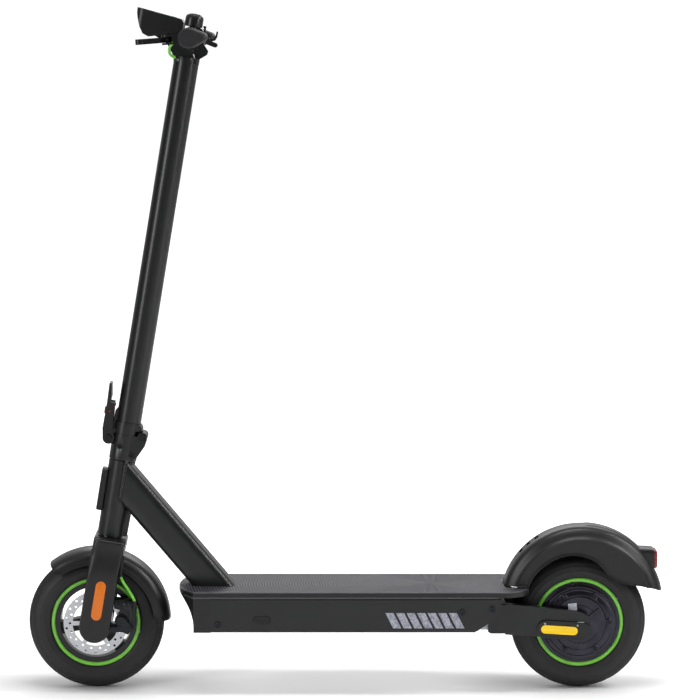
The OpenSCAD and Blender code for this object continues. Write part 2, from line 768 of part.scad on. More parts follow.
module rings() {
    both_sides() difference() {
        rod_y(rim_r, -ring_y, -barrel_y);
        rod_y(rim_r - ring_w, -ring_y - past, -barrel_y + past);
    }
}

module front_tyre() color("#1c1c1e") wheel_place(front_x) tyre();

module front_rings() color("#7cc24a") wheel_place(front_x) rings();

module front_wheel() color("#2b2b2f")
    wheel_place(front_x) difference() {
        union() {
            difference() {
                rod_y(rim_r, -barrel_y, barrel_y);
                rod_y(rim_open_d / 2, -barrel_y - past, barrel_y + past);
            }
            rod_y(29, -hub_y, hub_y - 4);
            for (a = [72, 192, 312]) rotate([0, -a, 0]) translate([20, -12, -11.5])
                cube([rim_open_d / 2 - 16, 24, 23]);
        }
        both_sides() rod_y(13, -hub_y - past, -hub_y + 9);
        rod_y(front_axle_d / 2 + 3, -hub_y, hub_y);
    }

module front_bearings() color("#8f9296")
    wheel_place(front_x) for (y = [-hub_y + 1, hub_y - 9]) difference() {
        rod_y(13, y, y + 8);
        rod_y(front_axle_d / 2 + run, y - past, y + 8 + past);
    }

module brake_disc() color("#c9ccd0")
    wheel_place(front_x) translate([0, -hub_y - disc_t, 0]) difference() {
        union() {
            difference() {
                rod_y(disc_d / 2, 0, disc_t);
                rod_y(disc_d / 2 - 17, -past, disc_t + past);
            }
            rod_y(27, 0, disc_t);
            for (i = [0:5]) rotate([0, 60 * i, 0]) translate([24, 0, -4]) cube([disc_d / 2 - 38, disc_t, 8]);
        }
        rod_y(15, -past, disc_t + past);
        for (i = [0:5]) rotate([0, 60 * i + 30, 0]) translate([21.5, 0, 0]) rod_y(2.6, -past, disc_t + past);
        for (i = [0:17], k = [0, 1]) rotate([0, 20 * i + 10 * k, 0]) translate([disc_d / 2 - 12 + 7 * k, 0, 0])
            rod_y(2.2, -past, disc_t + past);
    }

module disc_screws() color("#8f9296")
    wheel_place(front_x) for (i = [0:5]) rotate([0, 60 * i + 30, 0]) translate([21.5, 0, 0]) difference() {
        union() {
            rod_y(2.4, -hub_y - disc_t, -hub_y);
            rod_y(4, -hub_y - disc_t - 2.2, -hub_y - disc_t);
        }
        hex_y(1.8, -hub_y - disc_t - 3, -hub_y - disc_t - 1);
    }

// ---- latch ----

module latch_lever() color("#242428")
    steer_frame() difference() {
        union() {
            translate([latch_u, 0, latch_w]) both_sides() rod_y(11, -18, -12 - gap);
            both_sides() side_plate(-18, -12 - gap) polygon([[latch_u - 11, latch_w], [latch_u + 9, latch_w + 4],
                [latch_u + 4, latch_w + 28], [latch_u + 1, latch_w + 68], [latch_u - 12, latch_w + 68],
                [latch_u - 14, latch_w + 18]]);
            side_plate(-18, 18) polygon([[latch_u - 14, latch_w + 16], [latch_u - 9, latch_w + 16],
                [latch_u - 7, latch_w + 66], [latch_u - 6, latch_w + 78], [latch_u - 10, latch_w + 103],
                [latch_u - 14, latch_w + 103], [latch_u - 13, latch_w + 66]]);
        }
        translate([latch_u, 0, latch_w]) rod_y(hinge_pin_d / 2 + run, -20, 20);
        translate([latch_u - 5, 0, latch_w + 50]) rod_y(2 + run, -20, 20);
        // slot for the thumb of the catch
        translate([latch_u - 20, -6, latch_w + 38]) cube([16, 12, 30]);
    }

module safety_catch() color("#b4302a")
    steer_frame() {
        translate([latch_u - 5, 0, latch_w + 50]) rod_y(2, -17, 17);
        difference() {
            side_plate(-5.5, 5.5) polygon([[latch_u - 16, latch_w + 44], [latch_u - 11, latch_w + 42],
                [latch_u - 2, latch_w + 46], [latch_u, latch_w + 56], [latch_u + 3.5, latch_w + 60],
                [latch_u + 3.5, latch_w + 66], [latch_u - 3, latch_w + 64], [latch_u - 8, latch_w + 56],
                [latch_u - 16, latch_w + 56]]);
        }
    }

// ---- stem body ----

module fold_collar() color("#2b2b2f")
    steer_frame() difference() {
        union() {
            difference() {
                union() {
                    translate([0, 0, hinge_w]) cylinder(r = 26, h = collar_h);
                    side_plate(-22, 22) polygon([[0, hinge_w + 4], [hinge_back - 2, hinge_w + 12],
                        [hinge_back - 6, collar_w1 - 2], [0, collar_w1]]);
                }
                translate([hinge_back, 0, hinge_w]) rod_y(knuckle_r + 0.8, -30, 30);
            }
            side_plate(-12, 12) polygon([[0, hinge_w], [hinge_back, hinge_w],
                [hinge_back + knuckle_r - 1, hinge_w + 3.5], [hinge_back + 4, hinge_w + 8],
                [10, collar_w1 - 2], [0, collar_w1 - 2]]);
            translate([hinge_back, 0, hinge_w]) rod_y(knuckle_r, -12, 12);
            // strike that the latch closes against
            difference() {
                side_plate(-10, 10) polygon([[-20, hinge_w + 6], [-27.5, hinge_w + 8], [-27.5, hinge_w + 40],
                    [-24, hinge_w + 46], [-20, hinge_w + 46]]);
                translate([0, 0, collar_w1]) cylinder(r = stem_r + run, h = 40);
            }
        }
        translate([0, 0, hinge_w + 6]) cylinder(r = stem_r + run, h = collar_h);
        translate([0, 0, hinge_w - past]) cylinder(r = 12, h = 10);
        translate([hinge_back, 0, hinge_w]) rod_y(hinge_pin_d / 2 + run, -40, 40);
    }

module stem_tube() color("#242427")
    steer_frame() difference() {
        translate([0, 0, hinge_w + 6]) cylinder(r = stem_r, h = neck_w - hinge_w - 6);
        translate([0, 0, hinge_w + 5]) cylinder(r = stem_r - stem_wall, h = neck_w - hinge_w);
    }

// parting line between the neck and the head, up from the handlebar's centre
function head_split(u) = (u + 75) * 0.3 - 11;

module neck_outline() {
    polygon([[-stem_r + 1, neck_w + 2], [-stem_r - 3, neck_w + 13], [-40, bar_w - 18],
        [-64, bar_w + head_split(-64) - 0.1], [-16, bar_w + head_split(-16) - 0.1], [bar_u, bar_w],
        [bar_u + 10, bar_w - 18], [bar_u + 3, neck_w + 18], [stem_r - 4, neck_w + 3],
        [stem_r - 4, neck_w + 1]]);
}

module bar_neck() color("#202023")
    steer_frame() difference() {
        union() {
            translate([0, 0, neck_w - 26]) cylinder(r = stem_r - stem_wall - run, h = 27);
            translate([0, 0, neck_w]) cylinder(r = stem_r + 0.5, h = 12);
            side_plate(-20, 20) neck_outline();
            translate([bar_u, 0, bar_w]) rod_y(22, -26, 26);
        }
        translate([bar_u, 0, bar_w]) rod_y(bar_mid_r + run, -30, 30);
        // screws of the handlebar clamp
        for (y = [-18, 18]) translate([bar_u - 40, y, bar_w - 12]) rotate([0, 90, 0]) cylinder(r = 2.6, h = 22);
    }

module handlebar() color("#2b2b2f")
    bar_frame() difference() {
        union() {
            rod_y(bar_mid_r, -34, 34);
            both_sides() translate([0, -34, 0]) rotate([90, 0, 0]) rotate_extrude()
                polygon([[0, 0], [bar_mid_r, 0], [bar_r, 14], [bar_r, bar_len / 2 - 39], [0, bar_len / 2 - 39]]);
        }
        rod_y(bar_r - 2.5, -bar_len, bar_len);
    }

module head_outline() {
    polygon([[-103, 39], [-19, 30], [-14, 24], [-14.5, head_split(-14.5)], [-75, head_split(-75)], [-86, -7],
        [-94, 5], [-102, 28]]);
}

module head_housing() color("#1d1d20")
    steer_frame() translate([0, 0, bar_w]) difference() {
        intersection() {
            side_plate(-46, 46) head_outline();
            translate([0, 0, -40]) linear_extrude(120) translate([-104, -46]) rounded_rect(100, 92, 16);
        }
        // hollow, with the board and the lamp inside
        side_plate(-43, 43) polygon([[-98, 33], [-24, 26], [-26, 12], [-74, -5], [-84, -2], [-92, 8]]);
        translate([bar_u, 0, 0]) rod_y(22 + gap, -60, 60);
        glass_place() rounded_box([78.6, 84.6, 20], 12);
        lamp_place() rod_x(stadium_half = 13, r = 10 + gap, x0 = -14, x1 = 5);
        button_place() cylinder(r = 6.4, h = 30, center = true);
    }

// top face of the head: x back along the slope, y side, z out of the face
module glass_place() {
    translate([-103, 0, 39]) rotate([0, atan2(9, 84), 0]) translate([2.7, -42.3, -2.5]) children();
}

module button_place() {
    translate([-103, 0, 39]) rotate([0, atan2(9, 84), 0]) translate([68, 0, 0]) children();
}

module lamp_place() {
    translate([-98.5, 0, 17]) rotate([0, -19, 0]) children();
}

module rod_x(stadium_half, r, x0, x1) {
    front_plate(x0, x1) stadium(stadium_half, r);
}

module display_glass() color("#0c0c10")
    steer_frame() translate([0, 0, bar_w]) difference() {
        glass_place() translate([gap, gap, 0]) rounded_box([78, 84, 2.2], 12);
        button_place() cylinder(r = 6.4, h = 30, center = true);
    }

module power_button() color("#3a3a40")
    steer_frame() translate([0, 0, bar_w]) button_place() {
        translate([0, 0, -5]) cylinder(r = 6, h = 5.6);
    }

module headlight_lens() color("#dfe6ea")
    steer_frame() translate([0, 0, bar_w]) lamp_place() rod_x(stadium_half = 13, r = 10, x0 = -1.5, x1 = 3);

module grip() {
    rotate([0, -rake, 0]) translate([0, 0, 0]) side_plate(-bar_len / 2, grip_len - bar_len / 2)
        rotate(-4) teardrop(18.3, 8.5, 23);
}

module grips() color("#1c1c1f")
    bar_frame() both_sides() difference() {
        grip();
        rod_y(bar_r + run, 5 - bar_len / 2, 0);
    }

module brake_perch() color("#26262a") {
    y0 = 126 - bar_len / 2;
    brake_frame() difference() {
        union() {
            rod_y(bar_r + 5, y0, y0 + 18);
            translate([-46, y0, -9]) cube([34, 18, 18]);
            translate([-44, lever_y, -9]) cylinder(r = 10, h = 18);
            translate([-44, y0, -9]) cube([12, 24, 18]);
            // barrel that the hose ends in
            translate([-27.9, 0, 0]) rod_y(4.5, y0 + 10, y0 + 29);
        }
        rod_y(bar_r + run, -bar_len, 0);
        // slot and pin of the lever
        translate([-64, y0 - 4, -5 - gap]) cube([30, 40, 10 + 2 * gap]);
        translate([-44, lever_y, -20]) cylinder(r = 3 + run, h = 40);
    }
}

module brake_lever() color("#242428") {
    half_w = 6;
    brake_frame() {
        translate([-44, lever_y, -9]) cylinder(r = 3, h = 18);
        translate([-44, lever_y, -5]) linear_extrude(10) union() {
            circle(8.5);
            rotate(217) translate([0, -half_w]) square([35, 2 * half_w]);
            translate([-28, -21]) circle(half_w);
            translate([-28, -21]) rotate(245.3) translate([0, -half_w]) square([40.7, 2 * half_w]);
            translate([-45, -58]) circle(half_w);
            translate([-45, -58]) rotate(270) translate([0, -half_w]) square([34, 2 * half_w]);
            translate([-45, -92]) circle(7.5);
        }
    }
}

module throttle_housing() color("#26262a")
    bar_frame() difference() {
        union() {
            rod_y(18, throttle_y - 14, throttle_y);
            rod_y(14, throttle_y, throttle_y + 26);
        }
        rod_y(bar_r + run, 0, bar_len);
    }

module throttle_paddle() color("#1b1b1e") {
    y0 = throttle_y + gap;
    bar_frame() difference() {
        union() {
            rod_y(18, y0, y0 + 12);
            translate([0, 0, -6]) side_plate(y0, y0 + 24.5) translate([26, 0]) rotate(-12) stadium(11, 4.5);
        }
        rod_y(14 + gap, y0 - past, y0 + 30);
    }
}

module bell() color("#141416")
    bar_frame() translate([0, bell_y, 0]) difference() {
        union() {
            rod_y(bar_r + 4, -6, 6);
            translate([0, 0, bar_r + 2]) cylinder(r = 5, h = 8);
            translate([0, 0, bar_r + 9]) rotate_extrude() polygon([[0, 0], [15, 0], [16.5, 1.5], [16.5, 16],
                [15, 20], [11, 23], [5, 24.5], [0, 24.5]]);
            // ears of the striker
            for (y = [-6, 3]) translate([13, y, 2]) cube([13, 3, 8]);
        }
        translate([0, 0, bar_r + 8]) rotate_extrude() polygon([[6, 0], [14.5, 0], [14.5, 17], [10, 21], [6, 21]]);
        rod_y(bar_r + run, -10, 10);
        translate([22, 0, 6]) rod_y(1.5 + run, -10, 10);
    }

module bell_striker() color("#1b1b1e")
    bar_frame() translate([22, bell_y, 6]) {
        rod_y(1.5, -6, 6);
        side_plate(-3 + gap, 3 - gap) polygon([[-3, -2], [3, -4.5], [14, -7], [21, -4], [24, 3], [24, 13], [21, 13],
            [20.5, 5], [17, 0], [12, -2], [3, 1.5], [1.5, 10], [1.5, 19], [-4, 19], [-4, 16], [-2, 14], [-3, 4]]);
    }

module stow_hook() color("#202023")
    steer_frame() difference() {
        side_plate(-10, 10) translate([0, bar_w]) polygon([[8, -22.5], [17, -20], [22, -10], [28, -10], [37, -20], [36, -27],
            [28, -34], [21, -39], [16, -40], [14, -34]]);
        translate([bar_u, 0, bar_w]) rod_y(22, -30, 30);
        side_plate(-20, 20) neck_outline();
        translate([0, 0, neck_w - past]) cylinder(r = stem_r + 0.5, h = 12 + past);
    }

module upper_hose() color("#7cc24a")
    steer_frame() translate([0, 0, bar_w - 1110]) hose(smooth(upper_route, 3), hose_r);

// ---- rear body ----

module arm_outline() {
    polygon([[ear_x + 10, swing_z - 13], [ear_x + 10, swing_z + 46], [rear_x - 76, axle_z + 35],
        [rear_x - 2, axle_z + 27], [rear_x + 14, axle_z + 20], [rear_x + 21, axle_z + 2],
        [rear_x + 18, axle_z - 18], [rear_x + 8, axle_z - 26], [rear_x - 82, axle_z - 20]]);
}

module swing_arm() color("#2b2b2f")
    difference() {
        union() {
            both_sides() side_plate(-arm_y1, -arm_y0) arm_outline();
            // cross block between the two plates
            side_plate(-arm_y1, arm_y1) polygon([[swing_x - 9, swing_z - 8], [swing_x - 4, swing_z - 11],
                [ear_x + 11, swing_z - 11], [ear_x + 14, swing_z + 6], [ear_x + 14, swing_z + 22],
                [ear_x + 11, swing_z + 44], [swing_x - 9, swing_z + 44]]);
        }
        // room for the lugs of the bracket
        both_sides() translate([swing_x, 0, swing_z]) {
            rod_y(12, -43, -31);
            translate([-30, -43, -30]) cube([30, 12, 42]);
        }
        translate([swing_x, 0, swing_z]) rod_y(swing_pin_r + run, -47, 47);
        translate([rear_x, 0, axle_z]) rod_y(rear_axle_d / 2 + run, -100, 100);
        // room for the tyre
        translate([rear_x, 0, axle_z]) rod_y(tyre_r + 4, -arm_y0 + 12, arm_y0 - 12);
    }

module arm_covers() color("#232327")
    both_sides() translate([rear_x - 31, 0, axle_z - 7.5]) rotate([0, 3.5, 0]) difference() {
        side_plate(-arm_y1 - arm_cover_t, -arm_y1) stadium(34, 16.5);
        translate([31, 0, 9.4]) rod_y(11, -arm_y1 - arm_cover_t + 1.5, -arm_y1 + past);
        translate([-9, 0, 0]) side_plate(-arm_y1 - arm_cover_t - past, -arm_y1 - arm_cover_t + 1) stadium(26.5, 8 + gap);
    }

module rear_axle() color("#a9acb0")
    wheel_place(rear_x) {
        rod_y(rear_axle_d / 2, -arm_y1 - 4, arm_y1 + 4);
        both_sides() difference() {
            hex_y(10, -arm_y1 - 4, -arm_y1);
            rod_y(rear_axle_d / 2 - 0.5, -arm_y1 - 5, -arm_y1 + past);
        }
        both_sides() difference() {
            rod_y(11, -arm_y0, -motor_y - 1);
            rod_y(rear_axle_d / 2 - 0.5, -arm_y0 - past, -motor_y);
        }
        // stator and its windings
        difference() {
            rod_y(58, -14, 14);
            rod_y(rear_axle_d / 2 - 0.5, -20, 20);
            for (i = [0:11]) rotate([0, 30 * i, 0]) translate([48, 0, 0]) rod_y(4, -20, 20);
        }
    }

module rear_tyre() color("#1c1c1e") wheel_place(rear_x) tyre();

module rear_rings() color("#7cc24a") wheel_place(rear_x) rings();

module motor_shell() color("#4a4850")
    wheel_place(rear_x) difference() {
        rotate([90, 0, 0]) rotate_extrude($fn = 128) difference() {
            polygon([[0, -motor_y], [50, -motor_y], [51, -motor_y + 4], [motor_d / 2 - 3, -motor_y + 6],
                [motor_d / 2, -motor_y + 9], [motor_d / 2, -barrel_y], [rim_r, -barrel_y], [rim_r, barrel_y],
                [motor_d / 2, barrel_y], [motor_d / 2, motor_y - 9], [motor_d / 2 - 3, motor_y - 6],
                [51, motor_y - 4], [50, motor_y], [0, motor_y]]);
            translate([0, -18]) square([62, 36]);
        }
        rod_y(rear_axle_d / 2 + run, -50, 50);
        both_sides() for (i = [0:5]) rotate([0, 60 * i + 2, 0]) translate([56.6, 0, 0])
            rod_y(3.2, -motor_y, -motor_y + 6.5);
    }

main_frame();
deck_chassis();
deck_front_cap();
deck_plate();
deck_mat();
bottom_cover();
battery_pack();
controller();
charge_port();
deck_reflectors();
frame_bolts();
headset_bearings();
front_reflector();
rear_fender();
tail_lens();
swing_bracket();
suspension_rubber();
charge_cap();
kickstand();
fork();
fork_covers();
fork_reflectors();
fold_base();
steering_pins();
front_fender();
brake_caliper();
front_axle();
lower_hose();
caliper_arm();
front_tyre();
front_wheel();
front_rings();
brake_disc();
disc_screws();
front_bearings();
latch_lever();
safety_catch();
fold_collar();
stem_tube();
bar_neck();
handlebar();
head_housing();
display_glass();
headlight_lens();
grips();
brake_perch();
bell();
throttle_housing();
stow_hook();
upper_hose();
brake_lever();
throttle_paddle();
bell_striker();
power_button();
swing_arm();
arm_covers();
rear_axle();
rear_tyre();
rear_rings();
motor_shell();
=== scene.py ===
import json
import math

import bmesh
import bpy
import numpy as np
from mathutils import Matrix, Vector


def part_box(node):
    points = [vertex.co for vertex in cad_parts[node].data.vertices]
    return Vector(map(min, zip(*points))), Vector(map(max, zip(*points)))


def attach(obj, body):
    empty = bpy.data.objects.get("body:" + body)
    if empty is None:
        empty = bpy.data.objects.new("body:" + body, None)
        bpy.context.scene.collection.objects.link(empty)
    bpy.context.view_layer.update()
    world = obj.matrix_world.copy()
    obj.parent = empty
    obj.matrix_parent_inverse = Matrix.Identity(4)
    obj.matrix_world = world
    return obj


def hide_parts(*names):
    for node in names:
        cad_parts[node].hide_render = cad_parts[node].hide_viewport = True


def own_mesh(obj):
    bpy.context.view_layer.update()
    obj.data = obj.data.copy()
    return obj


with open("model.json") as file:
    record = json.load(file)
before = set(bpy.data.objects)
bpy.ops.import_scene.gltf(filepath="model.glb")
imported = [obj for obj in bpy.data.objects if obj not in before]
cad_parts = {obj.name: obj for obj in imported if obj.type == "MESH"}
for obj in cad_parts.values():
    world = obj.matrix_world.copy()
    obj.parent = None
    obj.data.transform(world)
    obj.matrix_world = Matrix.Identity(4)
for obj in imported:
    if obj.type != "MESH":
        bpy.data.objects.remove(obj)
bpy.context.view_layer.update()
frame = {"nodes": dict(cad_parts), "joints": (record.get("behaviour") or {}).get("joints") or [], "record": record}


# ---------------------------------------------------------------------------
# The studio: a seamless white floor, soft boxes overhead and at both sides,
# and a long lens that looks a few degrees down at the scooter's left side.

MM = 0.001
LENS = 154.7580786          # mm: a long lens, so that near and far parts keep their sizes
camera_data = bpy.data.cameras.new("camera")
camera_data.sensor_fit = "HORIZONTAL"
camera_data.sensor_width = 36
camera_data.lens = LENS
camera_data.shift_x = 0.046
camera_data.clip_end = 60
camera = bpy.data.objects.new("camera", camera_data)
camera.location = (-0.0617, -5.5, 1.2306)
camera.rotation_euler = (math.radians(90 - 6.13), 0, 0)
bpy.context.scene.collection.objects.link(camera)
bpy.context.scene.camera = camera
bpy.context.scene.view_settings.view_transform = "Standard"


def linear(code, alpha=1.0):
    """An sRGB hex colour as linear red, green, blue and alpha."""
    v = np.array([int(code[i:i + 2], 16) / 255 for i in (1, 3, 5)])
    v = np.where(v <= 0.04045, v / 12.92, ((v + 0.055) / 1.055) ** 2.4)
    return (*v.tolist(), alpha)


def add(tree, kind, links=None, **settings):
    """Adds a node. A setting is one of its properties or sockets; links join an input to an output."""
    node = tree.nodes.new(kind)
    for key, value in settings.items():
        if key in node.bl_rna.properties:
            setattr(node, key, value)
        else:
            node.inputs[key.replace("_", " ")].default_value = value
    for key, output in (links or {}).items():
        tree.links.new(output, node.inputs[key])
    return node


def ranged(tree, output, limits, **settings):
    """A value carried from one range to another: from low, from high, to low, to high."""
    node = add(tree, "ShaderNodeMapRange", {"Value": output}, **settings)
    for key, value in zip(("From Min", "From Max", "To Min", "To Max"), limits):
        node.inputs[key].default_value = value
    return node.outputs[0]


def reckon(tree, operation, *values, kind="ShaderNodeMath", result=0):
    """The result of a maths node. Each value is a number, a triple or another node's output."""
    node = add(tree, kind, operation=operation)
    for i, value in enumerate(values):
        if isinstance(value, bpy.types.NodeSocket):
            tree.links.new(value, node.inputs[i])
        else:
            node.inputs[i].default_value = value
    return node.outputs[result]


def surface(name, base, rough, metal=0.0, ior=1.5, coat=0.0, bump=None, tint=None):
    """A material from a colour, a roughness and what its surface was made like.

    bump is (grain size in mm, height in mm); tint is (second colour, patch size in mm, share)."""
    mat = bpy.data.materials.new(name)
    mat.use_nodes = True
    tree = mat.node_tree
    tree.nodes.clear()
    out = add(tree, "ShaderNodeOutputMaterial")
    skin = add(tree, "ShaderNodeBsdfPrincipled", Roughness=rough, Metallic=metal, IOR=ior)
    skin.inputs["Base Color"].default_value = linear(base)
    skin.inputs["Coat Weight"].default_value = coat
    skin.inputs["Coat Roughness"].default_value = 0.08
    tree.links.new(skin.outputs["BSDF"], out.inputs["Surface"])
    place = add(tree, "ShaderNodeTexCoord")
    if tint:
        patches = add(tree, "ShaderNodeTexNoise", {"Vector": place.outputs["Object"]},
                      Scale=1000 / tint[1], Detail=3.0)
        share = ranged(tree, patches.outputs["Fac"], (0.35, 0.65, 0.0, tint[2]))
        blend = add(tree, "ShaderNodeMix", {"Factor": share}, data_type="RGBA")
        blend.inputs["A"].default_value = linear(base)
        blend.inputs["B"].default_value = linear(tint[0])
        tree.links.new(blend.outputs["Result"], skin.inputs["Base Color"])
    if bump:
        grain = add(tree, "ShaderNodeTexNoise", {"Vector": place.outputs["Object"]},
                    Scale=1000 / bump[0], Detail=2.0)
        height = add(tree, "ShaderNodeBump", {"Height": grain.outputs["Fac"]},
                     Strength=1.0, Distance=bump[1] * MM)
        tree.links.new(height.outputs["Normal"], skin.inputs["Normal"])
    return mat


floor_mesh = bpy.data.meshes.new("floor")
floor_mesh.from_pydata([(-15, -12, 0), (15, -12, 0), (15, 18, 0), (-15, 18, 0)], [], [(0, 1, 2, 3)])
floor = bpy.data.objects.new("floor", floor_mesh)
bpy.context.scene.collection.objects.link(floor)
floor_paint = surface("matt_white_floor_paint", "#f4f4f4", 0.9)
floor_skin = next(n for n in floor_paint.node_tree.nodes if n.bl_idname == "ShaderNodeBsdfPrincipled")
floor_skin.inputs["Emission Color"].default_value = (1, 1, 1, 1)
# Painted shadow: the floor's glow, seen only by the camera, is dimmer under the scooter and gone where the two
# tyres stand.
ft = floor_paint.node_tree
floor_place = add(ft, "ShaderNodeTexCoord").outputs["Object"]
spot = reckon(ft, "MULTIPLY", floor_place, (0.55, 1.0, 1.0), kind="ShaderNodeVectorMath")
away = reckon(ft, "LENGTH", spot, kind="ShaderNodeVectorMath", result="Value")
painted_glow = ranged(ft, away, (0.3, 1.2, 0.3, 0.85), interpolation_type="SMOOTHSTEP")
ground = add(ft, "ShaderNodeSeparateXYZ", {0: floor_place})
# The middle between the axles lies ahead of the origin. Measured from there, both tyres are as far.
middle_ahead = 0.0137
half_wheelbase = 0.4545
from_middle = reckon(ft, "ABSOLUTE", reckon(ft, "ADD", ground.outputs["X"], middle_ahead))
to_contact = reckon(ft, "SUBTRACT", from_middle, half_wheelbase)
contact = add(ft, "ShaderNodeCombineXYZ", {"X": to_contact, "Y": ground.outputs["Y"]})
flat_patch = reckon(ft, "MULTIPLY", contact.outputs[0], (0.5, 1.0, 1.0), kind="ShaderNodeVectorMath")
from_contact = reckon(ft, "LENGTH", flat_patch, kind="ShaderNodeVectorMath", result="Value")
# Painted contact shadow: the glow fades out toward each tyre's contact and is gone right under it.
clear_of_painted_contact_shadow = ranged(ft, from_contact, (0.03, 0.16, 0.0, 1.0), interpolation_type="SMOOTHSTEP")
glow_with_painted_shadows = reckon(ft, "MULTIPLY", painted_glow, clear_of_painted_contact_shadow)
seen_glow = reckon(ft, "MULTIPLY", add(ft, "ShaderNodeLightPath").outputs["Is Camera Ray"], glow_with_painted_shadows)
ft.links.new(seen_glow, floor_skin.inputs["Emission Strength"])
floor_skin.inputs["Specular IOR Level"].default_value = 0.0
floor_mesh.materials.append(floor_paint)

world = bpy.data.worlds.new("studio")
bpy.context.scene.world = world
world.use_nodes = True
wt = world.node_tree
wt.nodes.clear()
seen = add(wt, "ShaderNodeBackground", Color=(1, 1, 1, 1), Strength=1.05)
lit = add(wt, "ShaderNodeBackground", Color=(1, 1, 1, 1))
sky = add(wt, "ShaderNodeSeparateXYZ", {0: add(wt, "ShaderNodeTexCoord").outputs["Generated"]})
high_up = ranged(wt, sky.outputs["Z"], (0.1, 0.9, 0.0, 0.3), interpolation_type="SMOOTHSTEP")
behind = ranged(wt, sky.outputs["Y"], (-0.2, 0.9, 0.03, 0.5), interpolation_type="SMOOTHSTEP")
wt.links.new(reckon(wt, "ADD", high_up, behind), lit.inputs["Strength"])
direct = add(wt, "ShaderNodeLightPath").outputs["Is Camera Ray"]
either = add(wt, "ShaderNodeMixShader", {0: direct, 1: lit.outputs[0], 2: seen.outputs[0]})
add(wt, "ShaderNodeOutputWorld", {"Surface": either.outputs[0]})


def soft_box(name, at, aim, size, power):
    """A rectangular lamp at a point, turned to face another."""
    lamp = bpy.data.lights.new(name, "AREA")
    lamp.shape = "RECTANGLE"
    lamp.size, lamp.size_y = size
    lamp.energy = power
    obj = bpy.data.objects.new(name, lamp)
    d = np.array(aim, float) - np.array(at, float)
    obj.location = at
    obj.rotation_euler = (math.atan2(math.hypot(d[0], d[1]), -d[2]), 0, math.atan2(d[1], d[0]) - math.pi / 2)
    bpy.context.scene.collection.objects.link(obj)


soft_box("top_box", (0.1, -0.6, 3.4), (0, 0, 0.3), (1.8, 0.8), 34)
soft_box("left_box", (-3.2, -2.6, 1.7), (-0.2, 0, 0.5), (0.55, 2.4), 50)
soft_box("right_box", (3.4, -2.2, 1.6), (0.2, 0, 0.4), (0.45, 2.2), 34)
soft_box("upper_right_box", (2.9, -0.5, 2.7), (-0.2, 0, 0.3), (0.25, 1.6), 44)
soft_box("back_box", (0.4, 3.4, 2.4), (0, 0, 0.6), (3.0, 1.6), 34)


# ---------------------------------------------------------------------------
# What the pieces share: the finish and the body of each CAD piece, and the
# scooter's own places, taken from the frame in metres.

record = frame["record"]
slot_of = {p["node"]: p["material_slot"] for p in record["subparts"]}
body_of = {n: b for b, members in record["behaviour"]["bodies"].items() for n in members}
joint = {j["name"]: j for j in frame["joints"]}


def corners(node):
    """The lowest and highest corner of a CAD piece, as arrays."""
    low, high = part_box(node)
    return np.array(low), np.array(high)


def middle(node):
    low, high = corners(node)
    return (low + high) / 2


front_axle = middle("front_tyre")
rear_axle = middle("rear_tyre")
LEAN = np.array(joint["steering"]["axis"], float)       # unit vector up the steering axis
BACK = np.array([LEAN[2], 0, -LEAN[0]])                 # square to it, toward the rider
SIDE = np.array([0.0, 1.0, 0.0])
ALONG = np.array([1.0, 0.0, 0.0])
UP = np.array([0.0, 0.0, 1.0])


def steer(u, y, w):
    """Steering coordinates in mm (back, side, up from the front axle) as points in metres."""
    u, y, w = np.broadcast_arrays(np.asarray(u, float), y, w)
    return front_axle + MM * (u[..., None] * BACK + y[..., None] * SIDE + w[..., None] * LEAN)


def piece(mesh, material, body, slot=None, replaces=()):
    """Puts a mesh in the scene as a finished piece of the same name, on a body."""
    obj = bpy.data.objects.new(mesh.name, mesh)
    bpy.context.scene.collection.objects.link(obj)
    mesh.materials.clear()
    mesh.materials.append(material)
    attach(obj, body)
    if replaces:
        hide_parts(*replaces)
    return obj


def broken_edges(obj, radius, angle, steps=2):
    """Breaks the edges of an object that are sharper than an angle, to a radius in mm."""
    edges = obj.modifiers.new("edges", "BEVEL")
    edges.width = radius * MM
    edges.segments = steps
    edges.limit_method = "ANGLE"
    edges.angle_limit = math.radians(angle)
    return edges


def eased(node, material, radius=0.8, steps=2, angle=32):
    """A copy of a CAD piece with its doubles merged and its sharp edges broken to a radius in mm."""
    mesh = frame["nodes"][node].data.copy()
    mesh.name = node + "_eased"
    bm = bmesh.new()
    bm.from_mesh(mesh)
    bmesh.ops.remove_doubles(bm, verts=bm.verts, dist=2e-6)
    bmesh.ops.dissolve_limit(bm, angle_limit=math.radians(0.6), verts=bm.verts, edges=bm.edges)
    bm.to_mesh(mesh)
    bm.free()
    mesh.shade_smooth()
    mesh.set_sharp_from_angle(angle=math.radians(angle))
    obj = piece(mesh, material, body_of[node], slot_of[node], [node])
    edges = broken_edges(obj, radius, angle, steps)
    edges.use_clamp_overlap = True
    edges.harden_normals = True
    return obj


def finished_mesh(name, points, faces, sharp=None):
    """Points and faces as a mesh with its normals outward, smooth but for edges sharper than an angle."""
    mesh = bpy.data.meshes.new(name)
    mesh.from_pydata(np.asarray(points, float).reshape(-1, 3).tolist(), [], faces)
    bm = bmesh.new()
    bm.from_mesh(mesh)
    bmesh.ops.recalc_face_normals(bm, faces=bm.faces)
    bm.to_mesh(mesh)
    bm.free()
    mesh.shade_smooth()
    if sharp:
        mesh.set_sharp_from_angle(angle=math.radians(sharp))
    return mesh


def sheet_mesh(name, points, wrap=(False, False), caps=False, sharp=None):
    """A mesh over a grid of points: quads between neighbours, joined round where wrap says.

    caps closes both ends of a grid that wraps round its second direction."""
    rows, cols = points.shape[:2]
    index = np.arange(rows * cols).reshape(rows, cols)
    if wrap[0]:
        index = np.vstack([index, index[:1]])
    if wrap[1]:
        index = np.hstack([index, index[:, :1]])
    quads = np.stack([index[:-1, :-1], index[1:, :-1], index[1:, 1:], index[:-1, 1:]], -1).reshape(-1, 4)
    faces = quads.tolist()
    if caps:
        faces += [index[0, :cols].tolist(), index[-1, :cols][::-1].tolist()]
    return finished_mesh(name, points, faces, sharp)


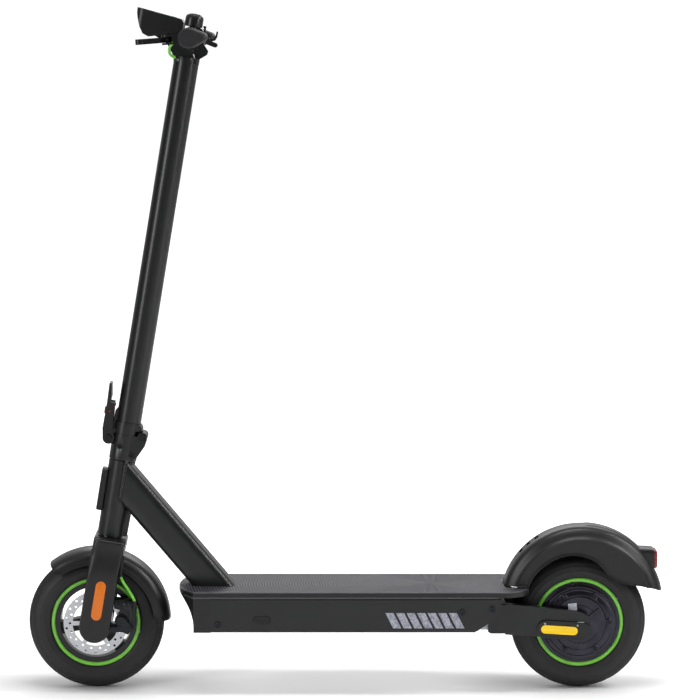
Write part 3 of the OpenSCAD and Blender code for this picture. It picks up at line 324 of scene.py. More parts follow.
def two_skins(name, outer, inner, keep=None, sharp=35):
    """A wall between two grids of the same layout: both skins, and a strip along every free edge.

    keep says which quads are there. An edge is free where no quad uses it the other way round."""
    rows, cols = outer.shape[:2]
    index = np.arange(rows * cols).reshape(rows, cols)
    quads = np.stack([index[:-1, :-1], index[1:, :-1], index[1:, 1:], index[:-1, 1:]], -1)
    quads = quads[keep] if keep is not None else quads.reshape(-1, 4)
    a, b = quads.ravel(), np.roll(quads, -1, 1).ravel()
    total = rows * cols
    free = ~np.isin(a * total + b, b * total + a)
    a, b = a[free], b[free]
    faces = np.vstack([quads, quads[:, ::-1] + total, np.stack([b, a, a + total, b + total], 1)])
    used, faces = np.unique(faces, return_inverse=True)
    points = np.vstack([outer.reshape(-1, 3), inner.reshape(-1, 3)])[used]
    return finished_mesh(name, points, faces.reshape(-1, 4).tolist(), sharp)


def turned(name, profile, centre, count=180, sharp=40):
    """A closed profile of (radius, side) points in mm, turned round a wheel's axle at centre."""
    a = np.linspace(0, 2 * np.pi, count, endpoint=False)[:, None]
    r, y = np.array(profile, float).T
    points = np.stack([r * np.cos(a), np.broadcast_to(y, (count, len(y))), r * np.sin(a)], -1)
    return sheet_mesh(name, centre + MM * points, wrap=(True, True), sharp=sharp)


def lozenge(name, half, steps, centre, along, up, out, count=32, sharp=38):
    """A stadium-shaped button: for each step a loop of radius r round a straight half length,
    at height h over the centre, and a closing face on the last loop. A third number of 6 makes
    that loop a hexagon. half is 0 for a round one. Sizes in mm."""
    a = (np.arange(count) + 0.5) * 2 * np.pi / count
    rings = []
    for step in steps:
        r = np.full(count, float(step[0]))
        if len(step) > 2:
            r = r * math.cos(math.pi / 6) / np.cos(np.mod(a, math.pi / 3) - math.pi / 6)
        flat = np.stack([np.sign(np.cos(a)) * half + r * np.cos(a), r * np.sin(a)], 1)
        rings.append(flat[:, :1] * along + flat[:, 1:] * up + step[1] * np.asarray(out, float))
    points = np.asarray(centre) + MM * np.array(rings)
    return sheet_mesh(name, points, wrap=(False, True), caps=True, sharp=sharp)


def swept(name, path, radius, count=20, reference=UP, closed=False, sharp=None):
    """A tube along a path in metres. The ring at each point stands square to the path, and radius
    is its radius in mm, one number or one for each point."""
    tangent = np.roll(path, -1, 0) - np.roll(path, 1, 0) if closed else np.gradient(path, axis=0)
    tangent /= np.linalg.norm(tangent, axis=1, keepdims=True)
    across = np.cross(tangent, reference)
    across /= np.linalg.norm(across, axis=1, keepdims=True)
    other = np.cross(across, tangent)
    a = np.linspace(0, 2 * np.pi, count, endpoint=False)
    r = np.broadcast_to(np.asarray(radius, float), len(path))[:, None, None] * MM
    ring = across[:, None] * np.cos(a)[:, None] + other[:, None] * np.sin(a)[:, None]
    return sheet_mesh(name, path[:, None] + r * ring, wrap=(closed, True), caps=not closed, sharp=sharp)


def spline(points, steps=10):
    """A smooth curve through points: each stretch is the cubic that leaves and meets its ends
    along the line between their neighbours."""
    p = np.array(points, float)
    p = np.vstack([2 * p[0] - p[1], p, 2 * p[-1] - p[-2]])
    a, b, c, d = (p[i:len(p) - 3 + i, None] for i in range(4))
    t = np.linspace(0, 1, steps, endpoint=False)[None, :, None]
    curve = 0.5 * (2 * b + (c - a) * t + (2 * a - 5 * b + 4 * c - d) * t ** 2
                   + (3 * b - a - 3 * c + d) * t ** 3)
    return np.vstack([curve.reshape(-1, p.shape[1]), p[-2:-1]])


def step_up(x, start, end):
    """Rises smoothly from 0 at start to 1 at end."""
    t = np.clip((x - start) / (end - start), 0, 1)
    return t * t * (3 - 2 * t)


def signed_power(x, power):
    """The power of a number's size, with the number's own sign. It squares a circle's sine and cosine
    off into a superellipse."""
    return np.sign(x) * np.abs(x) ** power


# ---------------------------------------------------------------------------
# Powder-coated aluminium: sprayed polyester powder, baked. It keeps a faint
# orange peel of about 1 mm and gives broad soft highlights on the tubes.

powder_black = surface("satin_powder_coated_aluminium", "#161718", 0.31,
                       bump=(1.2, 0.008), tint=("#1b1c1e", 40, 0.5))
# Injection-moulded ABS, spark-eroded mould: an even fine grain that stays dull.
abs_black = surface("grained_black_abs", "#161617", 0.37, bump=(0.9, 0.012), tint=("#1b1b1c", 30, 0.5))
# Zinc-plated steel, barrel-plated: bright with a slightly cloudy film.
zinc = surface("zinc_plated_steel", "#b9bcc0", 0.32, metal=1.0, tint=("#9b9ea3", 6, 0.6))
# Black oxide on machine screws: dark, oily and slightly metallic.
black_oxide = surface("black_oxide_steel", "#35363a", 0.3, metal=0.9, tint=("#28292c", 3, 0.6))
# Ethylene rubber for blocks, caps and plugs: dull and even.
soft_rubber = surface("black_epdm_rubber", "#17171a", 0.66, bump=(0.8, 0.02), tint=("#1e1e22", 12, 0.5))
bearing_steel = surface("ground_bearing_steel", "#a4a7ab", 0.22, metal=1.0, tint=("#8d9094", 2, 0.4))
red_abs = surface("red_moulded_abs", "#b0281f", 0.4, bump=(0.8, 0.015), tint=("#a02018", 10, 0.5))
bare_alloy = surface("sand_cast_aluminium", "#a7aaae", 0.45, metal=1.0,
                     bump=(0.8, 0.05), tint=("#8f9296", 4, 0.5))
# Rolled PVC film shrunk over the cells: thin, glossy and a little wrinkled.
pack_wrap = surface("blue_pvc_shrink_wrap", "#2553a8", 0.3, bump=(14, 0.3), tint=("#2049a0", 20, 0.5))
clear_pc = surface("clear_polycarbonate", "#dfe4e8", 0.06, coat=0.5, tint=("#cfd6dc", 8, 0.5))
# Hard-coated acrylic window over the display, tinted to hide what is off.
display_acrylic = surface("tinted_gloss_acrylic", "#0b0b0d", 0.06, coat=1.0, bump=(60, 0.02))
disc_steel = surface("ground_stainless_steel", "#cfd0d4", 0.27, metal=1.0,
                     bump=(0.5, 0.01), tint=("#bfc2c7", 2, 0.6))
# Lacquered wheel ring: bright green enamel with a clear gloss over it.
green_enamel = surface("green_enamelled_ring", "#82d84a", 0.3, coat=0.4, tint=("#76cb40", 25, 0.5))
# Braided brake line in a PVC jacket: soft gloss, slightly uneven outside.
green_pvc = surface("green_pvc_hose", "#7fd447", 0.36, bump=(1.6, 0.04), tint=("#64b52c", 8, 0.5))
# Die-cast motor cover with a warm grey paint, a little metallic.
cover_paint = surface("grey_painted_die_casting", "#3f3d46", 0.24, metal=0.85,
                      bump=(0.9, 0.008), tint=("#302e36", 20, 0.6))
tyre_rubber = surface("vulcanised_tyre_rubber", "#1a1a1b", 0.55, bump=(0.9, 0.03), tint=("#212122", 22, 0.6))


def prism_lens(name, base, cell, height, painted_glow=0.0):
    """A moulded reflector: pyramids on a square grid of cell mm, height mm deep, under a clear gloss. Its colour
    darkens toward each cell's edge, a painted shade, and it glows faintly in its own colour, a painted glow.
    """
    mat = surface(name, base, 0.2, coat=0.3)
    tree = mat.node_tree
    skin = next(n for n in tree.nodes if n.bl_idname == "ShaderNodeBsdfPrincipled")
    place = next(n for n in tree.nodes if n.bl_idname == "ShaderNodeTexCoord")
    cells = add(tree, "ShaderNodeTexVoronoi", {"Vector": place.outputs["Object"]},
                feature="F1", distance="CHEBYCHEV", Scale=1000 / cell, Randomness=0.0)
    relief = add(tree, "ShaderNodeBump", {"Height": cells.outputs["Distance"]},
                 Strength=0.8, Distance=height * MM)
    tree.links.new(relief.outputs["Normal"], skin.inputs["Normal"])
    # Painted shade: the colour darkens toward each prism cell's edge.
    deep = tuple(0.55 * v for v in linear(base)[:3]) + (1.0,)
    shade = add(tree, "ShaderNodeMix", {"Factor": cells.outputs["Distance"]}, data_type="RGBA")
    shade.inputs["A"].default_value = linear(base)
    shade.inputs["B"].default_value = deep
    tree.links.new(shade.outputs["Result"], skin.inputs["Base Color"])
    # Painted glow: the lens emits light in its own colour.
    skin.inputs["Emission Color"].default_value = linear(base)
    skin.inputs["Emission Strength"].default_value = painted_glow
    return mat


# Moulded acrylic reflectors: corner prisms of 2.5 mm behind a clear face. Each is given a little glow in its own
# colour: a painted glow.
amber_pmma = prism_lens("amber_prism_reflector", "#e4750a", 2.5, 0.7, painted_glow=0.16)
yellow_pmma = prism_lens("yellow_prism_reflector", "#ffd21f", 2.5, 0.4, painted_glow=0.26)
red_pmma = prism_lens("deep_red_prism_lens", "#8e1626", 3.0, 0.5, painted_glow=0.03)
# Retroreflective film on the deck's sides: a silver honeycomb with a faint violet cast.
silver_film = surface("silver_reflective_film", "#babcc6", 0.3, metal=0.75, coat=0.4, bump=(1.2, 0.08),
                      tint=("#74778c", 3.5, 0.85))

finish = {
    "satin_black": powder_black, "black_plastic": abs_black, "mat_rubber": soft_rubber,
    "battery_wrap": pack_wrap, "bare_aluminium": bare_alloy, "silver_reflector": silver_film,
    "zinc_steel": zinc, "black_oxide": black_oxide, "bearing_steel": bearing_steel,
    "clear_reflector": clear_pc, "red_lens": red_pmma, "black_rubber": soft_rubber,
    "amber_reflector": amber_pmma, "green_rubber": green_pvc, "tyre_rubber": tyre_rubber,
    "green_ring": green_enamel, "disc_steel": disc_steel, "red_plastic": red_abs,
    "display_glass": display_acrylic, "clear_lens": clear_pc, "grip_rubber": soft_rubber,
    "motor_grey": cover_paint,
}
for node, obj in frame["nodes"].items():
    obj.data.materials.clear()
    obj.data.materials.append(finish[slot_of[node]])

for node, radius in (
        ("main_frame", 2.5), ("deck_chassis", 0.8), ("deck_front_cap", 1.2), ("deck_plate", 0.9), ("fork", 1.5),
        ("fold_base", 1.2), ("front_wheel", 1.0),
        ("latch_lever", 1.0), ("fold_collar", 1.2), ("stem_tube", 0.5), ("bar_neck", 1.2), ("handlebar", 0.4),
        ("head_housing", 1.6), ("display_glass", 0.5), ("headlight_lens", 0.8), ("brake_perch", 1.0),
        ("bell", 0.6), ("throttle_housing", 1.2), ("stow_hook", 0.8), ("brake_lever", 1.6),
        ("throttle_paddle", 1.2), ("bell_striker", 0.6), ("swing_arm", 1.4), ("arm_covers", 1.4),
        ("kickstand", 0.8), ("swing_bracket", 0.6), ("charge_cap", 0.5), ("bottom_cover", 0.8),
        ("steering_pins", 0.4), ("front_axle", 0.4), ("rear_axle", 0.4), ("frame_bolts", 0.4),
        ("caliper_arm", 0.5), ("safety_catch", 0.5), ("power_button", 0.5), ("disc_screws", 0.3),
        ("brake_disc", 0.15), ("headset_bearings", 0.3),
        ("front_bearings", 0.3), ("deck_reflectors", 0.2), ("charge_port", 0.4), ("battery_pack", 1.0),
        ("controller", 0.8)):
    dark = node in ("steering_pins", "caliper_arm")
    eased(node, black_oxide if dark else finish[slot_of[node]], radius)

# The suspension's rubber block stands on the chassis wall. The arm presses it flat as the wheel rises.
rubber = eased("suspension_rubber", soft_rubber, 1.5)
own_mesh(rubber)


# ---------------------------------------------------------------------------
# Pneumatic tyres, 10 x 2.5 inch: moulded in a heated press, with sipes across
# the tread blocks and thin ribs round the sidewalls where the mould halves meet.

def tyre_grid(rows=720, cols=77):
    """A ring of round section: point angle p in the section and a round the wheel.

    The section's radius falls in the grooves between tread rows, in the sipes across
    them and over the whole sidewall, and rises at two thin ribs and at the bead."""
    low, high = corners("front_tyre")
    outer, half = (high - low)[0] / 2 / MM, (high - low)[1] / 2 / MM
    a = np.linspace(0, 2 * np.pi, rows, endpoint=False)[:, None]
    p = np.linspace(-112.0, 112.0, cols)[None, :]
    q = np.abs(p)
    tread = 1 - step_up(q, 57, 63)
    dip = 0.9 * (1 - tread)
    for at, width in ((13, 3.2), (35, 3.2)):
        dip = dip + 1.5 * np.exp(-((q - at) / width) ** 4) * tread
    turns = np.degrees(a) / 360
    for low_p, high_p, shift, slant in ((16, 32, 0.0, 0.0022), (38, 60, 0.5, 0.0016)):
        phase = np.mod(90 * (turns + slant * (q - low_p)) + shift, 1.0)
        band = step_up(q, low_p, low_p + 2) * (1 - step_up(q, high_p - 1, high_p + 2))
        dip = dip + 1.3 * band * np.exp(-((phase - 0.5) / 0.13) ** 4)
    for at, width, rise in ((72, 1.6, 0.6), (88, 1.6, 0.6), (104, 3.0, 0.8)):
        dip = dip - rise * np.exp(-((q - at) / width) ** 2)
    r = half - dip
    ring = outer - half + r * np.cos(np.radians(p))
    side = r * np.sin(np.radians(p))
    side, ring = np.broadcast_to(side, (rows, cols)), np.broadcast_to(ring, (rows, cols))
    return np.stack([ring * np.cos(a), side, ring * np.sin(a)], -1)


tread = tyre_grid()
for node, body, at in (("front_tyre", "front_wheel", front_axle), ("rear_tyre", "rear_wheel", rear_axle)):
    piece(sheet_mesh(node + "_moulded", at + MM * tread, wrap=(True, True)), tyre_rubber,
          body, slot_of[node], [node])


# ---------------------------------------------------------------------------
# Green rings pressed onto the rims: rolled aluminium strip with a domed face,
# enamelled, one on each side of both wheels.

ring_low, ring_high = corners("front_rings")
ring_out = (ring_high - ring_low)[0] / 2 / MM
ring_side = (ring_high - ring_low)[1] / 2 / MM
ring_steps = ((7, -2.4), (7, -0.9), (6.4, -0.2), (5.2, 0.3), (3.5, 0.5), (1.8, 0.3), (0.6, -0.2), (0, -0.9),
              (0, -2.4))
ring_profile = [(ring_out - inward, ring_side + proud) for inward, proud in ring_steps]
for node, body, at in (("front_rings", "front_wheel", front_axle), ("rear_rings", "rear_wheel", rear_axle)):
    for name, sign in (("left", -1), ("right", 1)):
        mesh = turned(node + "_" + name, [(r, sign * y) for r, y in ring_profile], at)
        piece(mesh, green_enamel, body, "green_ring", [node])


# ---------------------------------------------------------------------------
# Tyre valves: a brass stem with a black dust cap, one in each rim.

for name, body, at, angle, reach in (("front_valve", "front_wheel", front_axle, 12, (66, 50)),
                                     ("rear_valve", "rear_wheel", rear_axle, 100, None)):
    c, s = math.cos(math.radians(angle)), math.sin(math.radians(angle))
    inward = -np.array([c, 0, s])
    across = np.array([-s, 0, c])
    if reach:
        foot = at - inward * reach[0] * MM
        stem, cap = inward, [(2.6, -2), (2.6, 5), (2.1, 5.4), (2.1, 7), (3.4, 7.4), (3.6, 15), (2.8, 16.5)]
        mesh = lozenge(name, 0, cap, foot, across, SIDE, stem, 20)
    else:
        foot = at - inward * 74.5 * MM - SIDE * 23.5 * MM
        cap = [(2.2, -1), (2.2, 2), (3.2, 2.3), (3.2, 8), (2.4, 9.2)]
        mesh = lozenge(name, 0, cap, foot, across, inward, -SIDE, 20)
    piece(mesh, soft_rubber, body, "black_rubber")


# ---------------------------------------------------------------------------
# Hub motor: a die-cast drum with a bolted cover on each side. The covers have
# a raised rim, a stepped boss, pads round six screws and faint casting ribs.

motor_low, motor_high = corners("motor_shell")
motor_half = (motor_high - motor_low)[1] / 2 / MM
rim_radius = (motor_high - motor_low)[0] / 2 / MM
cover_radii = np.concatenate([np.linspace(6.1, 46, 27), np.linspace(47, 57, 21)[1:],
                              np.linspace(57.5, 71, 28)])
turn = np.linspace(0, 2 * np.pi, 288, endpoint=False)[:, None]


def cover_face(r, a):
    """How far a motor cover stands out at radius r and angle a: a boss to 50 mm, a slope to the flat
    rim, a rounded edge, a bead near 62 mm, round pads at the screws and three shallow ribs."""
    out = motor_half - 4 * step_up(r, 49.4, 51.5) - 2 * step_up(r, 51.5, 66) - 3 * step_up(r, 67.5, 71) ** 2
    out = out + 0.8 * np.exp(-((r - 63.5) / 1.4) ** 2) - 0.8 * np.exp(-((r - 36) / 0.8) ** 2)
    for i in range(6):
        s = math.radians(60 * i + 2)
        d = np.hypot(r * np.cos(a) - 56.6 * math.cos(s), r * np.sin(a) - 56.6 * math.sin(s))
        out = out + 1.4 * (1 - step_up(d, 6.2, 7.6)) * step_up(r, 50, 52)
    for degrees in (38, 158, 278):
        s = math.radians(degrees)
        d = np.abs(-r * np.cos(a) * math.sin(s) + r * np.sin(a) * math.cos(s))
        front = r * np.cos(a - s) > 0
        out = out + 0.7 * (1 - step_up(d, 0.6, 1.6)) * step_up(r, 14, 18) * (1 - step_up(r, 44, 48)) * front
    return out


left = cover_face(cover_radii[None, :], turn)
rim = np.array([(71, 25.5), (rim_radius - 0.4, 24.2), (rim_radius, 23.6), (rim_radius, -23.6),
                (rim_radius - 0.4, -24.2), (71, -25.5)])
radii = np.concatenate([cover_radii, rim[:, 0], cover_radii[::-1]])
sides = np.hstack([-left, -np.broadcast_to(rim[:, 1], (len(turn), len(rim))), left[:, ::-1]])
drum = np.stack([radii * np.cos(turn), sides, radii * np.sin(turn)], -1)
piece(sheet_mesh("motor_drum", rear_axle + MM * drum, wrap=(True, True), sharp=40), cover_paint,
      "rear_wheel", "motor_grey", ["motor_shell"])

# Button-head screws with a hexagon socket hold each cover.
button_head = [(4.2, -0.5), (4.4, 0.6), (3.6, 2.0), (2.6, 2.5), (2.0, 2.5, 6), (1.8, 0.9, 6)]
for i in range(6):
    s = math.radians(60 * i + 2)
    spoke = np.array([math.cos(s), 0, math.sin(s)])
    for name, sign in (("left", -1), ("right", 1)):
        seat = rear_axle + MM * (56.6 * spoke + sign * (motor_half - 3.6) * SIDE)
        mesh = lozenge(f"cover_screw_{name}_{i}", 0, button_head, seat, spoke, np.cross(spoke, SIDE),
                       sign * SIDE, 24)
        piece(mesh, black_oxide, "rear_wheel", "black_oxide")

# A blank printed label: matt white paper under a clear film.
label_paper = surface("white_paper_label", "#c9cbd2", 0.5, coat=0.3, tint=("#a9acb6", 3, 0.6))
corner = rear_axle + MM * np.array([-13.0, -motor_half - 0.05, 30.0])
mesh = lozenge("motor_label", 0, [(11.5, -0.2), (11.5, 0.25), (11.2, 0.35)], corner, (ALONG + 0.1 * UP),
               (UP - 0.1 * ALONG), -SIDE, 4)
piece(mesh, label_paper, "rear_wheel")


# ---------------------------------------------------------------------------
# Front fender: injection-moulded ABS, 3 mm thick, with a rolled lip along its
# edge. A boss under the crown takes the bolt that holds it.

def arch(centre, turn_angles, sections, wall, lip=0.0):
    """Outer and inner skins of a wheel arch. Each row is a section (side, radius) at one angle round
    the centre; the inner skin lies a wall's thickness along the section's own normal, and the outer
    stands out by lip near both edges."""
    tangent = np.gradient(sections, axis=1)
    normal = np.stack([tangent[..., 1], -tangent[..., 0]], -1)
    normal /= np.linalg.norm(normal, axis=-1, keepdims=True)
    normal *= np.where(normal[:, len(normal[0]) // 2, 1] > 0, 1, -1)[:, None, None]
    run = np.cumsum(np.linalg.norm(np.diff(sections, axis=1, prepend=sections[:, :1]), axis=-1), axis=1)
    edge = np.minimum(run, run[:, -1:] - run)
    outer = sections + normal * (lip * (1 - step_up(edge, 2.4, 4.4)))[..., None]
    inner = sections - normal * wall
    c, s = np.cos(np.radians(turn_angles))[:, None], np.sin(np.radians(turn_angles))[:, None]

    def place(q):
        return centre + MM * np.stack([q[..., 1] * c, q[..., 0], q[..., 1] * s], -1)

    return place(outer), place(inner)


def resample(points, count):
    """Points at even steps along a polyline."""
    run = np.concatenate([[0], np.cumsum(np.linalg.norm(np.diff(points, axis=0), axis=1))])
    at = np.linspace(0, run[-1], count)
    return np.stack([np.interp(at, run, points[:, k]) for k in range(points.shape[1])], 1)


fender_low, fender_high = corners("front_fender")
front_top = 140.0
front_half = (fender_high - fender_low)[1] / 2 / MM
shape = np.array([(0, front_top), (12, front_top - 0.3), (24, front_top - 2.0), (33, front_top - 5.6),
                  (39.5, front_top - 11.5), (42.3, front_top - 19), (front_half, front_top - 29)])
half_section = resample(spline(shape, 8), 26)
section = np.vstack([half_section[::-1] * [-1, 1], half_section[1:]])
angles = np.linspace(2, 128, 100)
sections = np.broadcast_to(section, (len(angles), *section.shape)).copy()
# toward both ends the skirts draw up a little, so that the tips are rounded
tip = np.minimum(angles - 2, 128 - angles)
shorten = 6 * (1 - step_up(tip, 0, 6))[:, None]
sections[..., 1] += shorten * step_up(np.abs(sections[..., 0]), 40, front_half)
outer, inner = arch(front_axle, angles, sections, 2.8, 0.8)
fender = piece(two_skins("front_fender_moulded", outer, inner), abs_black, "steering",
               "black_plastic", ["front_fender"])
broken_edges(fender, 0.7, 35)
seat = lozenge("front_fender_seat", 0, [(18, -3), (18, 2.2), (17.4, 2.9), (4.2, 2.9), (4.2, -2)],
               steer(0, 0, front_top), BACK, SIDE, LEAN, 48)
piece(seat, abs_black, "steering", "black_plastic", ["front_fender"])


# ---------------------------------------------------------------------------
# Rear fender: a larger moulded arch fixed on the tail of the deck, with a
# sharp fold along its side, a raised strip to the tail light and two slots.

arch_low, arch_high = corners("rear_fender")
rear_top = 152.7
arch_centre = np.array([rear_axle[0] + 5.5 * MM, 0, rear_axle[2] + 30 * MM])
arch_half = (arch_high - arch_low)[1] / 2 / MM
deck_line = (corners("deck_mat")[1][2] - arch_centre[2]) / MM + 0.6
last_angle = 180 - math.degrees(math.asin(deck_line / (rear_top - 1.2)))
angles = np.concatenate([np.linspace(11.6, 124, 118), np.linspace(124.75, last_angle, 68)])
edge_angles = [11.5, 16, 21.3, 26.9, 34.6, 44, 53.2, 65, 78.3, 100.9, 128, 147.6, 165.3]
edge_radii = [152.0, 134, 115.7, 98.4, 83.6, 79.2, 78.1, 84.5, 92.4, 101.9, 107.3, 109.2, 108.7]
edge_smooth = spline(np.stack([edge_angles, edge_radii], 1), 8)
edge_radius = np.interp(angles, edge_smooth[:, 0], edge_smooth[:, 1])
edge_radius = np.maximum(edge_radius, np.where(angles > 90, deck_line / np.sin(np.radians(angles)), 0))
crown_drop = ((0, 0), (12, 0.1), (22, 0.9), (29.5, 4.4), (34.5, 10.5), (38, 16.5), (42.2, 21.6))
crown = spline([(side, rear_top - drop) for side, drop in crown_drop], 8)
crown = np.vstack([crown, [(arch_half, rear_top - 23.4)]])
rows = []
for radius in edge_radius:
    top = crown[crown[:, 1] > radius + 0.3]
    if radius > crown[-1, 1]:
        foot = np.array([[np.interp(radius, crown[::-1, 1], crown[::-1, 0]), radius]])
        top = np.vstack([top, foot + [[0, 0.2]]])
    else:
        foot = np.array([[arch_half, radius]])
    skirt = np.linspace(top[-1], foot[0], 15)[1:]
    rows.append(np.vstack([resample(top, 30), skirt]))
half = np.array(rows)
sections = np.concatenate([half[:, ::-1] * [-1, 1], half[:, 1:]], 1)
strip = (1 - step_up(np.abs(sections[..., 0]), 16.5, 18.5)) * (1 - step_up(angles, 84, 92))[:, None]
sections[..., 1] += 1.6 * strip
outer, inner = arch(arch_centre, angles, sections, 2.8, 0.9)
quad_angle = (angles[:-1] + angles[1:])[:, None] / 2
quad_side = (sections[:-1, :-1, 0] + sections[:-1, 1:, 0]) / 2
slots = np.zeros(quad_side.shape, bool)
for at in (124, 131, 138):
    slots |= (np.abs(quad_angle - at) < 1.6) & (np.abs(quad_side) < 9)
mesh = two_skins("rear_fender_moulded", outer, inner, ~slots, 28)
fender = piece(mesh, abs_black, "frame", "black_plastic", ["rear_fender"])
broken_edges(fender, 0.6, 40)


# ---------------------------------------------------------------------------
# Tail light: a hollow box moulded with the fender, its roof falling slightly
# back, closed by a deep red lens with prisms.

def loft(name, stations, count=10, power=0.28, sharp=40):
    """A closed tube along x: each station is x, side half width, lowest and highest z, in mm. Its
    section is a box whose corners follow a superellipse, so that they are round."""
    a = np.linspace(0, 2 * np.pi, 8 * count, endpoint=False)
    c = signed_power(np.cos(a), power)
    s = signed_power(np.sin(a), power)
    x, wide, low_z, high_z = np.array(stations, float).T[:, :, None]
    points = np.stack([x + 0 * a, wide * c, (low_z + high_z) / 2 + (high_z - low_z) / 2 * s], -1)
    return sheet_mesh(name, MM * points, wrap=(False, True), caps=True, sharp=sharp)


lens_low, lens_high = corners("tail_lens")
lens_x, lens_end = lens_low[0] / MM, lens_high[0] / MM
z0, z1 = lens_low[2] / MM - 2.4, lens_high[2] / MM + 2.6
stations = ((-48, 22, 16, 0.5), (-30, 23, 4, 2), (-12, 24, 0, 1.2), (-3, 24, 0, 0.3), (-0.6, 23.6, 0.4, 0),
            (0, 22.6, 1.4, -1))
box = loft("tail_light_box", [(lens_x + x, wide, z0 + low, z1 + high) for x, wide, low, high in stations])
piece(box, abs_black, "frame", "black_plastic", ["rear_fender"])
lens = loft("tail_lens_moulded", [(lens_x - 1, 21.5, z0 + 2, z1 - 2), (lens_x + 2, 22, z0 + 2, z1 - 2),
                                  (lens_x + 4.6, 21.4, z0 + 2.8, z1 - 2.8),
                                  (lens_end, 19.6, z0 + 4.4, z1 - 4.6)])
piece(lens, red_pmma, "frame", "red_lens", ["tail_lens"])


# ---------------------------------------------------------------------------
# Deck mat: compression-moulded rubber with ribs in rings round a point behind
# the middle of the deck, 5.2 mm apart and 1.1 mm high. It is glued to the deck.

mat_low, mat_high = corners("deck_mat")
nose_x, mat_end, mat_top = mat_low[0] / MM, mat_high[0] / MM, mat_high[2] / MM
mat_half = mat_high[1] / MM
ring_centre = 163.0         # mm, how far behind the origin the rings have their centre
rib_pitch = 5.2


def deck_half_width(x, inset=0.0):
    """Half of the deck's width at x, mm: an arc across the nose, small arcs at its corners, straight
    sides and larger arcs at the tail, all drawn in by inset from the mat's outline."""
    nose_r, corner_r, tail_r = 161.7 - inset, 30.7 - inset, 48.7 - inset
    w = np.full(np.shape(x), mat_half - inset)
    t = nose_x + 30.7 - x
    w = np.where(t > 0, mat_half - 30.7 + np.sqrt(np.maximum(corner_r ** 2 - t ** 2, 0)), w)
    t = nose_x + 161.7 - x
    w = np.where(t > 0, np.minimum(w, np.sqrt(np.maximum(nose_r ** 2 - t ** 2, 0))), w)
    t = x - mat_end + 48.7
    return np.where(t > 0, mat_half - 48.7 + np.sqrt(np.maximum(tail_r ** 2 - t ** 2, 0)), w)


# Moulded rubber, coloured a light violet-grey on the ribs' tops: a painted sheen.
mat_rubber = surface("ribbed_mat_rubber", "#48464e", 0.55, bump=(0.8, 0.03), tint=("#504e56", 20, 0.4))
mt = mat_rubber.node_tree
mat_skin = next(n for n in mt.nodes if n.bl_idname == "ShaderNodeBsdfPrincipled")
rib_top_sheen = mat_skin.inputs["Base Color"].links[0].from_socket
# The grooves are coloured darker than the tops, as painted shade and the dust they hold: rings at the ribs' own
# pitch.
mat_place = add(mt, "ShaderNodeTexCoord").outputs["Object"]
flat = reckon(mt, "MULTIPLY_ADD", mat_place, (1, 1, 0), (-ring_centre * MM, 0, 0), kind="ShaderNodeVectorMath")
ring_radius = reckon(mt, "LENGTH", flat, kind="ShaderNodeVectorMath", result="Value")
wave = reckon(mt, "COSINE", reckon(mt, "MULTIPLY", ring_radius, 2 * math.pi / (rib_pitch * MM)))
rib_top = ranged(mt, wave, (-0.5, 0.5, 0.0, 1.0))
ribbed = add(mt, "ShaderNodeMix", {"Factor": rib_top, "B": rib_top_sheen}, data_type="RGBA")
ribbed.inputs["A"].default_value = linear("#131315")
mt.links.new(ribbed.outputs["Result"], mat_skin.inputs["Base Color"])
slot_start = mat_end - 43
for name, x0, x1, sides in (
        ("front", nose_x + 0.3, slot_start, (-1, 1)),
        ("tail_left", slot_start, mat_end - 0.3, (-1, None)),
        ("tail_right", slot_start, mat_end - 0.3, (None, 1))):
    x = np.arange(x0, x1 + 0.65, 1.3)[:, None]
    x[-1] = x1
    w = deck_half_width(x)
    low_y = -w if sides[0] else np.full_like(w, 52.0)
    high_y = w if sides[1] else np.full_like(w, -52.0)
    t = np.linspace(0, 1, int((high_y - low_y).max() / 1.7))[None, :]
    y = low_y + (high_y - low_y) * t
    xx = np.broadcast_to(x, y.shape)
    edge = np.minimum(w - np.abs(y), np.minimum(xx - nose_x, 60))
    ribs = 0.5 + 0.5 * np.cos(2 * np.pi * np.hypot(xx - ring_centre, y) / rib_pitch)
    z = mat_top - 1.1 * (1 - np.clip(1.6 * ribs - 0.3, 0, 1)) * step_up(edge, 1.0, 2.5)
    tube_foot = (np.abs(xx + 262) < 24) & (np.abs(y) < 26)
    keep = ~(tube_foot[:-1, :-1] & tube_foot[1:, 1:])
    outer = MM * np.stack([xx, y, z], -1)
    inner = MM * np.stack([xx, y, np.full_like(y, mat_low[2] / MM)], -1)
    piece(two_skins("deck_mat_" + name, outer, inner, keep, 60), mat_rubber, "frame",
          "mat_rubber", ["deck_mat"])


# ---------------------------------------------------------------------------
# Bead trim round the deck: an extruded PVC strip, half round, pressed into the
# joint between plate and chassis, and a thinner one along the plate's top edge.

bright_trim = surface("grey_pvc_bead", "#4b4c51", 0.32, coat=0.3, tint=("#3c3d42", 14, 0.5))
x = np.concatenate([nose_x + 1.2 + 32 * np.linspace(0, 1, 26) ** 2,
                    np.linspace(nose_x + 40, mat_end - 50, 90),
                    mat_end + 0.4 - 49 * np.linspace(1, 0.02, 26) ** 2])
for name, sign in (("left", -1), ("right", 1)):
    for level, z, grow, r in (("top", mat_top - 0.9, 2.4, 1.5), ("low", mat_top - 10.8, 3.4, 1.1)):
        y = sign * (deck_half_width(x, -grow) + (0 if level == "top" else -0.3))
        path = MM * np.stack([x, y, np.full_like(x, z)], 1)
        if level == "low":
            path = path[(x > nose_x + 8) & (x < mat_end - 50)]
        piece(swept(f"deck_bead_{level}_{name}", path, r, 12), bright_trim, "frame",
              "black_plastic")


# ---------------------------------------------------------------------------
# Down tube: a hydroformed aluminium box section with crowned faces, welded to
# the head tube with a rippled bead and let into the deck at its foot.

